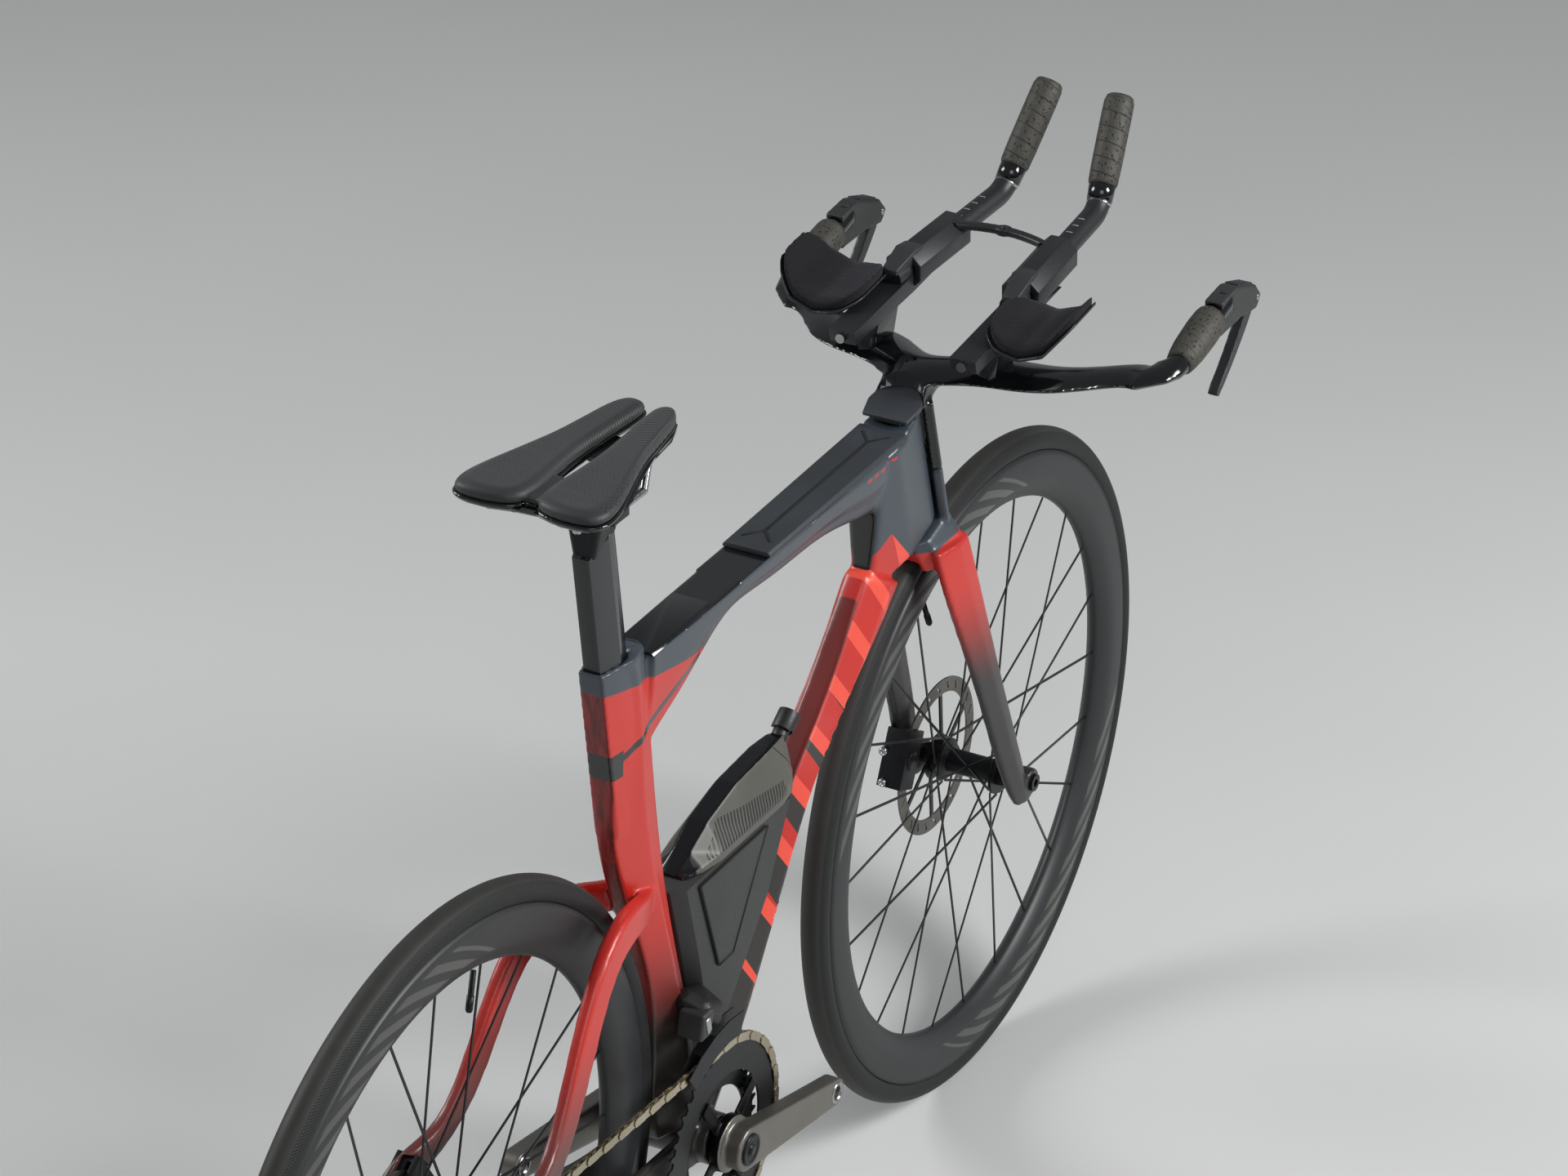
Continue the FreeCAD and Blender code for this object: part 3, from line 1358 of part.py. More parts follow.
riser_high = octagon(
    Vector(riser_rear_x + d.riser_chord / 2 + d.riser_forward, d.extension_offset, axis_rear_z),
    Vector(1, 0, 0), sideways, d.riser_chord / 2, d.riser_half,
)
riser = loft([riser_low, riser_high], True).cut([base_bar, clamp, extension])
riser = max(riser.Solids, key=lambda solid: solid.Volume)
formed("risers", pair(riser))
formed("base_bar", base_bar)

# Bridge between the extensions, with a bolt hole in its middle boss
bridge_z = extension_start.z + first_way.z / first_way.x * (bridge_x - extension_start.x)
bridge_y = extension_start.y + first_way.y / first_way.x * (bridge_x - extension_start.x)
bridge_top = bridge_z + d.extension_radius + d.bridge_half_height
bridge_rings = []
for out_share in (1.0, 0.5, 0.0, -0.5, -1.0):
    bow = d.bridge_bow * (1 - out_share * out_share)
    centre = Vector(bridge_x + bow, bridge_y * out_share, bridge_top)
    bridge_rings.append(
        octagon(centre, Vector(1, 0, 0), Vector(0, 0, 1), d.bridge_half_width, d.bridge_half_height)
    )
bridge = loft(bridge_rings)
boss_low = Vector(bridge_x + d.bridge_bow, 0, bridge_top - d.bridge_half_height)
boss_high = Vector(bridge_x + d.bridge_bow, 0, bridge_top + d.bridge_half_height)
bridge = bridge.fuse(rod(boss_low, boss_high, d.bridge_boss_radius))
bridge = bridge.cut([rod(boss_low, boss_high, d.bridge_hole_radius), extension, mirror(extension), clamp, mirror(clamp)])
formed("extension_bridge", max(bridge.Solids, key=lambda solid: solid.Volume))

# Arm cups and pads: offset across and rise of the trough.
trough_shares = ((0.0, 0.38), (0.2, 0.12), (0.48, 0.0), (0.76, 0.26), (1.0, 1.0))
cup_reach = d.cup_outer_offset - d.cup_inner_offset


def trough(x, lift, thickness, trim_share):
    """A trough section across the forearm, a lift above the cup's lower face."""
    lower = []
    upper = []
    for out_share, rise_share in trough_shares:
        out = trim_share + out_share * (1 - 2 * trim_share)
        y = d.cup_inner_offset + cup_reach * out
        pitch = d.cup_pitch_rise * (x - cup_rear_x) / d.cup_length
        z = cup_z + pitch + d.cup_wing_rise * rise_share + lift
        lower.append(Vector(x, y, z))
        upper.append(Vector(x, y, z + thickness))
    return polygon(lower + upper[::-1])


cup_front_x = cup_rear_x + d.cup_length
arm_cup = loft([trough(cup_rear_x, 0, d.cup_thickness, 0), trough(cup_front_x, 0, d.cup_thickness, 0)], True)
formed("arm_cups", pair(arm_cup.cut([clamp, riser, extension])))
# Place along the pad, thickness and side trim of each cushion section.
arm_pad_shares = ((0.0, 0.55, 0.04), (0.12, 0.92, 0.0), (0.5, 1.0, 0.0), (0.88, 0.92, 0.0), (1.0, 0.55, 0.04))
pad_sections = []
for along_share, thick_share, trim_share in arm_pad_shares:
    x = cup_rear_x + d.cup_length * along_share
    pad_sections.append(trough(x, d.cup_thickness, d.arm_pad_thickness * thick_share, trim_share))
formed("arm_pads", pair(loft(pad_sections, True).cut([clamp, extension])))
bolt_base = Vector(mount_rear_x - d.bracket_half * 0.15, d.extension_offset, mount_z - d.bracket_half / 2)
bracket_bolt = rod(bolt_base - Vector(d.bolt_length, 0, 0), bolt_base + Vector(d.bolt_length, 0, 0), d.bolt_radius)
formed("cockpit_bolts", pair(bracket_bolt.cut(clamp)))
formed("extension_clamps", pair(clamp))

# Storage box with its door, and the bottle above it
# Height, rear edge and front edge of each box section.
box_shares = ((1.0, 0.0, 1.0), (0.53, 0.11, 0.81), (0.0, 0.21, 0.45))
box_sections = []
for height_share, rear_share, front_share in box_shares:
    z = box_bottom_z + d.box_height * height_share
    rear = box_rear_x + d.box_length * rear_share
    front = box_rear_x + d.box_length * front_share
    box_sections.append(
        octagon(Vector((rear + front) / 2, 0, z), Vector(1, 0, 0), sideways, (front - rear) / 2, d.box_half)
    )
storage_box = loft(box_sections, True).cut([seat_tube_space, loft(down_sections)])
formed("storage_box", max(storage_box.Solids, key=lambda solid: solid.Volume))
# Door corners: share of the box's length and height.
door_shares = ((0.73, 0.97), (0.44, 0.38), (0.32, 0.38), (0.15, 0.97))
door_face_y = -d.box_half - d.fit_gap
door = slab(
    [
        (box_rear_x + d.box_length * along, box_bottom_z + d.box_height * up)
        for along, up in door_shares
    ],
    door_face_y - d.door_thickness, door_face_y,
)
hinge_y = door_face_y - d.door_thickness / 2
hinge_ends = [
    Vector(box_rear_x + d.box_length * along, hinge_y, box_bottom_z + d.box_height * up)
    for along, up in door_shares[2:]
]
hinge_barrel = rod(hinge_ends[0], hinge_ends[1], d.door_thickness / 2)
formed("storage_door", door.fuse(hinge_barrel).removeSplitter())
bottle_low = box_top_z + d.seam_gap
bottle_front_x = bottle_rear_x + d.bottle_length
# Corners of the bottle in plan: share of the length and of the half width, base then top.
bottle_base_shares = ((0.0, 0.35), (0.2, 1.0), (0.85, 1.0), (1.0, 0.5))
bottle_top_shares = ((0.24, 0.35), (0.4, 0.5), (0.9, 0.5), (1.06, 0.35))
bottle_slope = d.bottle_height / d.bottle_length * 0.6


def bottle_ring(shares, z, slope):
    """A flat bottle section with mirrored sides, climbing forward by a slope."""
    points = []
    for side, order in ((1, shares), (-1, tuple(reversed(shares)))):
        for along_share, out_share in order:
            along = d.bottle_length * along_share
            points.append(Vector(bottle_rear_x + along, side * d.bottle_half * out_share, z + along * slope))
    return polygon(points)


bottle = loft(
    [
        bottle_ring(bottle_base_shares, bottle_low, 0),
        bottle_ring(bottle_base_shares, bottle_low + d.bottle_height * 0.12, 0),
        bottle_ring(bottle_top_shares, bottle_low + d.bottle_height * 0.38, bottle_slope),
    ],
    True,
)
spout_way = Vector(math.cos(math.radians(d.spout_lean)), 0, math.sin(math.radians(d.spout_lean)))
spout_base = Vector(bottle_front_x, 0, bottle_low + d.bottle_height * 0.9)
neck = rod(spout_base - spout_way * d.spout_length, spout_base + spout_way * d.spout_length, d.spout_radius)
formed("bottle", bottle.fuse(neck).removeSplitter())
spout_start = spout_base + spout_way * (d.spout_length - d.spout_cap_length)
spout_cap = rod(spout_start, spout_base + spout_way * (d.spout_length + d.spout_cap_gap * 2), d.spout_cap_radius)
spout_inner = rod(spout_start, spout_base + spout_way * (d.spout_length + d.spout_cap_gap), d.spout_radius + d.slide_gap)
bottle_room = bottle.fuse(bottle.translated(spout_way * d.seam_gap))
formed("bottle_spout", spout_cap.cut([spout_inner, bottle_room]))

# Drive: centres, radii and turning senses of the four wheels the chain runs over
def pitch_radius(teeth):
    """Radius of the circle through the roller centres."""
    return d.chain_pitch / 2 / math.sin(math.pi / teeth)


COG_TEETH = CASSETTE_TEETH[DRIVEN_COG]
cog_y = -d.largest_cog_offset - d.cog_pitch * DRIVEN_COG
ring_y = -d.outer_ring_offset
guide_centre = Vector(rear_x + d.guide_pulley_forward, 0, axle_z - d.guide_pulley_drop)


def tension_point(angle):
    """Centre of the tension pulley for a cage angle below the horizontal."""
    return guide_centre + Vector(math.cos(angle), 0, -math.sin(angle)) * d.cage_length


def chain_course(angle):
    """Arcs and straight runs of the chain, as (kind, data, pitches), for a cage angle."""
    wheels = (
        (shell_centre, OUTER_TEETH, 1, ring_y),
        (Vector(rear_x, 0, axle_z), COG_TEETH, 1, cog_y),
        (guide_centre, PULLEY_TEETH, -1, cog_y),
        (tension_point(angle), PULLEY_TEETH, 1, cog_y),
    )
    headings = []
    spans = []
    for index, (centre, teeth, sense, _) in enumerate(wheels):
        other, other_teeth, other_sense, _ = wheels[(index + 1) % 4]
        run = other - centre
        step = other_sense * pitch_radius(other_teeth) - sense * pitch_radius(teeth)
        headings.append(math.atan2(run.z, run.x) - math.asin(step / run.Length))
        spans.append(math.sqrt(run.Length ** 2 - step ** 2))
    course = []
    for index, (centre, teeth, sense, y) in enumerate(wheels):
        entry = headings[index - 1] - sense * math.pi / 2
        leave = headings[index] - sense * math.pi / 2
        wrap = (leave - entry) * sense % (2 * math.pi)
        course.append(("arc", (centre, pitch_radius(teeth), entry, sense, y), wrap * teeth / (2 * math.pi)))
        radius = pitch_radius(teeth)
        start = centre + Vector(radius * math.cos(leave), 0, radius * math.sin(leave))
        heading = Vector(math.cos(headings[index]), 0, math.sin(headings[index]))
        next_y = wheels[(index + 1) % 4][3]
        course.append(("run", (start, heading, spans[index], y, next_y), spans[index] / d.chain_pitch))
    return course


def course_pitches(angle):
    """Length of the chain's course in pitches."""
    return sum(part[2] for part in chain_course(angle))


nominal_angle = math.radians(d.cage_angle)
LINKS = 2 * round(course_pitches(nominal_angle) / 2)
low_angle = nominal_angle - math.pi / 5
high_angle = nominal_angle + math.pi / 5
rising = course_pitches(high_angle) > course_pitches(low_angle)
for _ in range(60):
    cage_turn = (low_angle + high_angle) / 2
    if (course_pitches(cage_turn) < LINKS) == rising:
        low_angle = cage_turn
    else:
        high_angle = cage_turn
tension_centre = tension_point(cage_turn)
course = chain_course(cage_turn)


def course_point(place_on):
    """Roller centre a number of pitches along the course."""
    for kind, data, pitches in course:
        if place_on > pitches:
            place_on -= pitches
            continue
        share = place_on / pitches
        if kind == "run":
            start, heading, span, y, next_y = data
            drift_share = share * share * (3 - 2 * share)
            return start + heading * (span * share) + Vector(0, y + (next_y - y) * drift_share, 0)
        centre, radius, entry, sense, y = data
        turn = entry + sense * place_on * 2 * math.asin(d.chain_pitch / 2 / radius)
        return centre + Vector(radius * math.cos(turn), y, radius * math.sin(turn))
    return course_point(0)


rollers = [course_point(index) for index in range(LINKS)]


def link_plate(a, b, y):
    """A six-cornered link plate between two roller centres."""
    along = Vector(b.x - a.x, 0, b.z - a.z).normalize()
    rise = Vector(-along.z, 0, along.x) * d.plate_half_height
    tip = along * (d.plate_half_height * 0.9)
    shoulder = along * (d.plate_half_height * 0.35)
    points = [a - tip, a - shoulder + rise, b + shoulder + rise, b + tip, b + shoulder - rise, a - shoulder - rise]
    lift = Vector(0, y, 0)
    return Part.Face(polygon([point + lift for point in points])).extrude(Vector(0, d.chain_plate_thickness, 0))


def make_chain():
    """Inner and outer links in turn, with a six-sided roller on every pin."""
    solids = []
    outer_inside = d.inner_plate_inside + d.chain_plate_thickness + d.chain_plate_gap
    for index, start in enumerate(rollers):
        end = rollers[(index + 1) % LINKS]
        middle_y = (start.y + end.y) / 2
        a = Vector(start.x, middle_y, start.z)
        b = Vector(end.x, middle_y, end.z)
        inside = d.inner_plate_inside if index % 2 == 0 else outer_inside
        solids.append(link_plate(a, b, inside))
        solids.append(link_plate(a, b, -inside - d.chain_plate_thickness))
        way = Vector(b.x - a.x, 0, b.z - a.z).normalize()
        turn = math.atan2(way.z, way.x)
        corners = []
        for step in range(6):
            corner = turn + math.pi / 3 * (step + 0.5)
            corners.append(start + Vector(math.cos(corner), 0, math.sin(corner)) * d.roller_radius)
        half = d.inner_plate_inside
        low = Vector(0, -half, 0)
        solids.append(Part.Face(polygon([point + low for point in corners])).extrude(Vector(0, half * 2, 0)))
    return Part.makeCompound(solids)


formed("chain", make_chain())


def sprocket(centre, teeth, y, thickness, bore, phase):
    """A toothed disc with a bore; a roller seat lies at the phase angle."""
    radius = pitch_radius(teeth)
    root = radius - d.tooth_root_drop
    tip = radius * math.cos(math.pi / teeth) + d.tooth_tip_rise
    points = []
    for index in range(teeth):
        seat = phase + 2 * math.pi * index / teeth
        crest = seat + math.pi / teeth
        for way, distance, half in ((seat, root, d.tooth_root_half), (crest, tip, d.tooth_tip_half)):
            out = Vector(math.cos(way), 0, math.sin(way)) * distance
            aside = Vector(-math.sin(way), 0, math.cos(way)) * half
            points += [out - aside, out + aside]
    lift = Vector(centre.x, y - thickness / 2, centre.z)
    disc = Part.Face(polygon([point + lift for point in points])).extrude(Vector(0, thickness, 0))
    return disc.cut(cross_rod(centre.x, centre.z, bore, y - thickness, y + thickness))


def seat_phase(centre, radius):
    """Angle of a roller that lies on a wheel's pitch circle."""
    near = [point for point in rollers if abs(math.hypot(point.x - centre.x, point.z - centre.z) - radius) < d.fit_gap]
    middle = near[len(near) // 2]
    return math.atan2(middle.z - centre.z, middle.x - centre.x)


ring_phase = seat_phase(shell_centre, pitch_radius(OUTER_TEETH))
cog_phase = seat_phase(rear_axle, pitch_radius(COG_TEETH))
cogs = []
for index, teeth in enumerate(CASSETTE_TEETH):
    y = -d.largest_cog_offset - d.cog_pitch * index
    phase = cog_phase if index == DRIVEN_COG else math.pi / 2
    cogs.append(sprocket(rear_axle, teeth, y, d.cog_thickness, d.freehub_radius, phase))
spacer_end = -d.largest_cog_offset - d.cog_pitch * (len(CASSETTE_TEETH) - 1)
spacer = cross_rod(rear_x, axle_z, d.cog_spacer_radius, spacer_end, -d.largest_cog_offset)
spacer = spacer.cut(cross_rod(rear_x, axle_z, d.freehub_radius, spacer_end, -d.largest_cog_offset))
formed("cassette", cogs[0].fuse(cogs[1:] + [spacer]))
for label, centre in (("guide_pulley", guide_centre), ("tension_pulley", tension_centre)):
    phase = seat_phase(centre, pitch_radius(PULLEY_TEETH))
    bore = d.pulley_bore_radius + d.fit_gap
    formed(label, sprocket(centre, PULLEY_TEETH, cog_y, d.pulley_thickness, bore, phase))

# Chainrings, crank arms and spindle
ring_bolt_radius = (d.outer_ring_bore + d.inner_ring_bore) / 2
spider_face = ring_y - d.ring_thickness / 2
inner_face = -d.inner_ring_offset - d.ring_thickness / 2
outer_ring = sprocket(shell_centre, OUTER_TEETH, ring_y, d.ring_thickness, d.outer_ring_bore, ring_phase)
inner_ring = sprocket(shell_centre, INNER_TEETH, -d.inner_ring_offset, d.ring_thickness, d.inner_ring_bore, 0)
crank_turn = math.radians(d.crank_angle)
tabs = []
posts = []
arms = []
for index in range(SPIDER_ARMS):
    way = crank_turn + math.pi / SPIDER_ARMS + 2 * math.pi * index / SPIDER_ARMS
    out = Vector(math.cos(way), 0, math.sin(way))
    tangent = Vector(-math.sin(way), 0, math.cos(way))
    spot = shell_centre + out * ring_bolt_radius
    tabs.append(cross_rod(spot.x, spot.z, d.ring_tab_radius, ring_y - d.ring_thickness / 2, ring_y + d.ring_thickness / 2))
    posts.append(cross_rod(spot.x, spot.z, d.ring_post_radius, ring_y + d.ring_thickness / 2, inner_face + d.ring_thickness))
    low = shell_centre + Vector(0, spider_face - d.spider_thickness / 2, 0)
    arms.append(blade(low, low + out * (ring_bolt_radius + d.spider_arm_width / 2), tangent, d.spider_arm_width, d.spider_thickness))
formed("chainring_outer", outer_ring.fuse(tabs).removeSplitter())
formed("chainring_inner", inner_ring.fuse(posts).removeSplitter())


def crank_arm(side, turn):
    """A crank arm tapering from the spindle to the pedal thread."""
    out = Vector(math.cos(turn), 0, math.sin(turn))
    aside = Vector(-math.sin(turn), 0, math.cos(turn))
    root = Vector(bracket_x, side * (d.crank_inside + d.crank_outside) / 2, bracket_z)
    end = root + out * d.crank_length
    half = (d.crank_outside - d.crank_inside) / 2
    wire = polygon([
        root + aside * d.crank_root_radius, end + aside * d.crank_end_radius,
        end - aside * d.crank_end_radius, root - aside * d.crank_root_radius,
    ])
    arm = Part.Face(wire).extrude(Vector(0, half * 2, 0))
    arm.translate(Vector(0, -half, 0))
    near = side * d.crank_inside
    face = side * d.crank_outside
    arm = arm.fuse([
        cross_rod(root.x, root.z, d.crank_root_radius, near, face),
        cross_rod(end.x, end.z, d.crank_end_radius, near, face),
    ])
    return arm.cut(cross_rod(end.x, end.z, d.pedal_hole_radius, near - side * d.cut_overrun, face + side * d.cut_overrun)).removeSplitter()


right_arm = crank_arm(-1, crank_turn)
left_arm = crank_arm(1, crank_turn + math.pi)
spindle = cross_rod(bracket_x, bracket_z, d.spindle_radius, -d.crank_inside, d.crank_outside)
spider = cross_rod(bracket_x, bracket_z, d.spider_hub_radius, -d.crank_inside, spider_face)
spindle_hole = cross_rod(
    bracket_x, bracket_z, d.spindle_bore_radius, -d.crank_outside - d.cut_overrun, d.crank_outside + d.cut_overrun
)
right_crank = right_arm.fuse([spindle, spider] + arms).cut(spindle_hole).removeSplitter()
formed("crank_arm_right", right_crank)
formed("crank_arm_left", left_arm.cut(spindle))

# Shifting gear
cage_parts = []
run = tension_centre - guide_centre
cage_way = Vector(run).normalize()
cage_aside = Vector(-cage_way.z, 0, cage_way.x)
for side in BOTH_SIDES:
    near = cog_y + side * d.cage_plate_gap
    far_face = near + side * d.cage_plate_thickness
    plate = slab(
        [
            (point.x, point.z)
            for point in (
                guide_centre + cage_aside * d.cage_plate_half_width,
                tension_centre + cage_aside * d.cage_plate_half_width * 0.8,
                tension_centre - cage_aside * d.cage_plate_half_width * 0.8,
                guide_centre - cage_aside * d.cage_plate_half_width,
            )
        ],
        near, far_face,
    )
    plate = plate.fuse([
        cross_rod(guide_centre.x, guide_centre.z, d.cage_plate_half_width, near, far_face),
        cross_rod(tension_centre.x, tension_centre.z, d.cage_plate_half_width * 0.8, near, far_face),
    ])
    cage_parts.append(plate)
reach = d.cage_plate_gap + d.cage_plate_thickness
for centre in (guide_centre, tension_centre):
    cage_parts.append(cross_rod(centre.x, centre.z, d.pulley_bore_radius, cog_y - reach, cog_y + reach))
cage = cage_parts[0].fuse(cage_parts[1:]).removeSplitter()
formed("derailleur_cage", cage)
knuckle_face = cog_y - reach - d.slide_gap
knuckle_outer = knuckle_face - d.knuckle_length
lower_knuckle = cross_rod(guide_centre.x, guide_centre.z, d.knuckle_radius, knuckle_outer, knuckle_face)
hanger_low = axle_z - d.hanger_drop
upper_z = hanger_low - d.seam_gap
upper_block = slab(
    [
        (rear_x - d.knuckle_radius, upper_z),
        (rear_x + d.knuckle_radius * 1.4, upper_z),
        (guide_centre.x + d.knuckle_radius, guide_centre.z),
        (guide_centre.x - d.knuckle_radius, guide_centre.z),
    ],
    knuckle_outer, knuckle_face - d.knuckle_length / 3,
)
battery = Part.makeBox(
    d.battery_length, d.battery_width, d.battery_height,
    Vector(rear_x - d.knuckle_radius / 2 - d.battery_length, knuckle_outer, upper_z - d.battery_height),
)
formed("rear_derailleur_body", lower_knuckle.fuse([upper_block, battery]).removeSplitter())

front_cage = []
cage_spread = (math.radians(d.front_cage_start), math.radians(d.front_cage_end))
for side in BOTH_SIDES:
    near = ring_y + side * d.front_cage_gap
    points = []
    for radius, order in ((d.front_cage_inner_radius, range(5)), (d.front_cage_outer_radius, range(4, -1, -1))):
        for step in order:
            turn = cage_spread[0] + (cage_spread[1] - cage_spread[0]) * step / 4
            points.append((bracket_x + radius * math.cos(turn), bracket_z + radius * math.sin(turn)))
    front_cage.append(slab(points, near, near + side * d.front_cage_thickness))
bridge_inner = d.front_cage_outer_radius - d.front_cage_thickness * 2
bridge_points = []
for radius, order in ((bridge_inner, (2, 3)), (d.front_cage_outer_radius, (3, 2))):
    for step in order:
        turn = cage_spread[0] + (cage_spread[1] - cage_spread[0]) * step / 4
        bridge_points.append((bracket_x + radius * math.cos(turn), bracket_z + radius * math.sin(turn)))
front_cage.append(slab(bridge_points, ring_y - d.front_cage_gap, ring_y + d.front_cage_gap))
formed("front_derailleur_cage", front_cage[0].fuse(front_cage[1:]).removeSplitter())
shifter_low = bracket_z + d.front_cage_outer_radius + d.seam_gap
shifter_x = bracket_x - d.shifter_body_length
shifter = slab(
    [
        (shifter_x, shifter_low),
        (shifter_x + d.shifter_body_length, shifter_low),
        (shifter_x + d.shifter_body_length * 0.8, shifter_low + d.shifter_body_height),
        (shifter_x, shifter_low + d.shifter_body_height * 1.1),
    ],
    ring_y - d.shifter_body_width * 0.3, -d.seat_tube_half * 0.6,
)
formed("front_derailleur_body", max(shifter.cut([seat_tube_space, loft(down_sections), loft(box_sections, True)]).Solids, key=lambda solid: solid.Volume))

# Every object has to be sound before any file is written.
doc.recompute()
for thing in doc.Objects:
    if "Invalid" in thing.State or "Error" in thing.State:
        raise RuntimeError("%s failed: %s" % (thing.Label, thing.State))
os.makedirs("parts", exist_ok=True)
for thing in pieces:
    if thing.Shape.isNull() or not thing.Shape.isValid():
        raise RuntimeError("%s has no sound shape" % thing.Label)
for thing in pieces:
    thing.Shape.exportStep("parts/%s.step" % thing.Label)
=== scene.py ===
import math

import bmesh
import bpy
from mathutils import Matrix, Vector
from mathutils.bvhtree import BVHTree


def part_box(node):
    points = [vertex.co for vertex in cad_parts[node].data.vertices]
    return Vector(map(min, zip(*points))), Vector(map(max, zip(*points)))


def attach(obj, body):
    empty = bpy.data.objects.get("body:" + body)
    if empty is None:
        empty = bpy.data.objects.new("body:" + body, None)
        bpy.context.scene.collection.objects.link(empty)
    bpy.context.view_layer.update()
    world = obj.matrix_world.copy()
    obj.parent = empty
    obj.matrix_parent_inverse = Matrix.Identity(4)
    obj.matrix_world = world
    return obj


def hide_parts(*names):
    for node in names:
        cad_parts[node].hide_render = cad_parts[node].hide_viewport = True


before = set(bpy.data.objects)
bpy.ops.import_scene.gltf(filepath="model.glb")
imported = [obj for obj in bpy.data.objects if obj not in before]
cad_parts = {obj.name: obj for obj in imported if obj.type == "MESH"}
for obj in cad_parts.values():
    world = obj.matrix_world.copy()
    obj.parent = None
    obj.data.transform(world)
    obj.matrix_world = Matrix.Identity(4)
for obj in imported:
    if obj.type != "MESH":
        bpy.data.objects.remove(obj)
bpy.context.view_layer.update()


# The room: a wide pale floor under soft studio light, with the camera behind the drive side
# and above the saddle. Only the floor shows behind the bike.
def linear(code):
    """An sRGB hex colour as linear RGBA."""
    channels = [int(code[place:place + 2], 16) / 255 for place in (1, 3, 5)]
    return [c / 12.92 if c <= 0.04045 else ((c + 0.055) / 1.055) ** 2.4 for c in channels] + [1.0]


def join(node, sockets):
    """Gives a node's inputs a constant, or a link to a value written as (node, output)."""
    for socket, value in sockets.items():
        if isinstance(value, tuple):
            node.id_data.links.new(value[0].outputs[value[1]], node.inputs[socket])
        else:
            node.inputs[socket].default_value = value


def add(kind, sockets, **settings):
    """Adds a node, with its settings, to the tree of the values that go into it."""
    tree = next(value[0].id_data for value in sockets.values() if isinstance(value, tuple))
    node = tree.nodes.new(kind)
    for name, value in settings.items():
        setattr(node, name, value)
    join(node, sockets)
    return node


def noise(coords, scale, detail):
    """Soft noise of a scale per metre."""
    sockets = {"Vector": (coords, "Object"), "Scale": scale, "Detail": detail}
    return add("ShaderNodeTexNoise", sockets), 0


def mixed(share, under, over):
    """One colour laid over another by a mask; a colour is a hex code or a value."""
    under, over = [linear(tone) if isinstance(tone, str) else tone for tone in (under, over)]
    return add("ShaderNodeMix", {0: share, 6: under, 7: over}, data_type="RGBA"), 2


def surface(name, sockets):
    """A new material: itself, its shader and its coordinates."""
    material = bpy.data.materials.new(name)
    material.use_nodes = True
    shader = material.node_tree.nodes["Principled BSDF"]
    join(shader, sockets)
    return material, shader, material.node_tree.nodes.new("ShaderNodeTexCoord")


def placed(name, shape):
    """Turns a bmesh into a smooth-shaded piece at the origin."""
    mesh = bpy.data.meshes.new(name)
    shape.to_mesh(mesh)
    shape.free()
    mesh.shade_smooth()
    piece = bpy.data.objects.new(name, mesh)
    bpy.context.collection.objects.link(piece)
    return piece


# Painted concrete: pale and even, with a slow cloudy drift that keeps it from looking flat.
concrete, shader, coords = surface("painted_concrete", {"Roughness": 0.66})
join(shader, {"Base Color": mixed(noise(coords, 0.9, 4.0), "#bdbebd", "#cacbc9")})
floor_half = 14.0
ground = bmesh.new()
bmesh.ops.create_grid(ground, x_segments=1, y_segments=1, size=floor_half)
floor = placed("floor", ground)
floor.data.materials.append(concrete)

scene = bpy.context.scene
scene.view_settings.view_transform = "Standard"
sky = bpy.data.worlds.new("studio")
scene.world = sky
sky.use_nodes = True
join(sky.node_tree.nodes["Background"], {"Color": linear("#e6eaf0"), "Strength": 0.27})
light_aim = Vector((0, 0, 0.5))
for name, spot, size, watts in (
    ("key_light", (1.2, -3.4, 2.9), 1.6, 185.0),
    ("camera_fill", (-3.4, -2.6, 3.6), 2.6, 55.0),
    ("rim_light", (-0.8, 3.4, 2.6), 1.6, 90.0),
):
    lamp = bpy.data.lights.new(name, "AREA")
    lamp.size = size
    lamp.energy = watts
    light = bpy.data.objects.new(name, lamp)
    light.location = spot
    light.rotation_euler = (light_aim - Vector(spot)).to_track_quat("-Z", "Y").to_euler()
    bpy.context.collection.objects.link(light)

camera_spot = Matrix.Translation((-3.4942, -1.8976, 2.8112))
yaw = Matrix.Rotation(math.radians(27.886 - 90), 4, "Z")
pitch = Matrix.Rotation(math.radians(90 - 27.378), 4, "X")
roll = Matrix.Rotation(math.radians(1.093), 4, "Z")
lens = bpy.data.cameras.new("camera")
lens.sensor_fit = "HORIZONTAL"
lens.sensor_width = 36.0
lens.lens = 119.66
camera = bpy.data.objects.new("camera", lens)
camera.matrix_world = camera_spot @ yaw @ pitch @ roll
bpy.context.collection.objects.link(camera)
scene.camera = camera


# The frame: one hollow carbon moulding of head tube, top tube, down tube, seat tube and stays,
# blended at the joints, filled, painted slate and red, and rubbed to a satin sheen.
weld = 0.00001


def solids(*nodes):
    """The merged solids of some nodes."""
    shape = bmesh.new()
    for node in nodes:
        shape.from_mesh(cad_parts[node].data)
    bmesh.ops.remove_doubles(shape, verts=shape.verts, dist=weld)
    return shape


def copied(name, *nodes):
    """A new piece made of the merged solids of some nodes."""
    return placed(name, solids(*nodes))


def settled(piece):
    """Turns what a piece's modifiers make into its mesh."""
    shown = piece.evaluated_get(bpy.context.evaluated_depsgraph_get())
    skin = bpy.data.meshes.new_from_object(shown)
    piece.modifiers.clear()
    piece.data = skin
    return piece


def moulded(piece, grid, rounds):
    """Melts a piece's solids into one smooth skin; grid is the finest form that stays."""
    melt = piece.modifiers.new("melt", "REMESH")
    melt.mode = "VOXEL"
    melt.voxel_size = grid
    melt.use_smooth_shade = True
    ease = piece.modifiers.new("ease", "SMOOTH")
    ease.factor = 0.5
    ease.iterations = rounds
    return settled(piece)


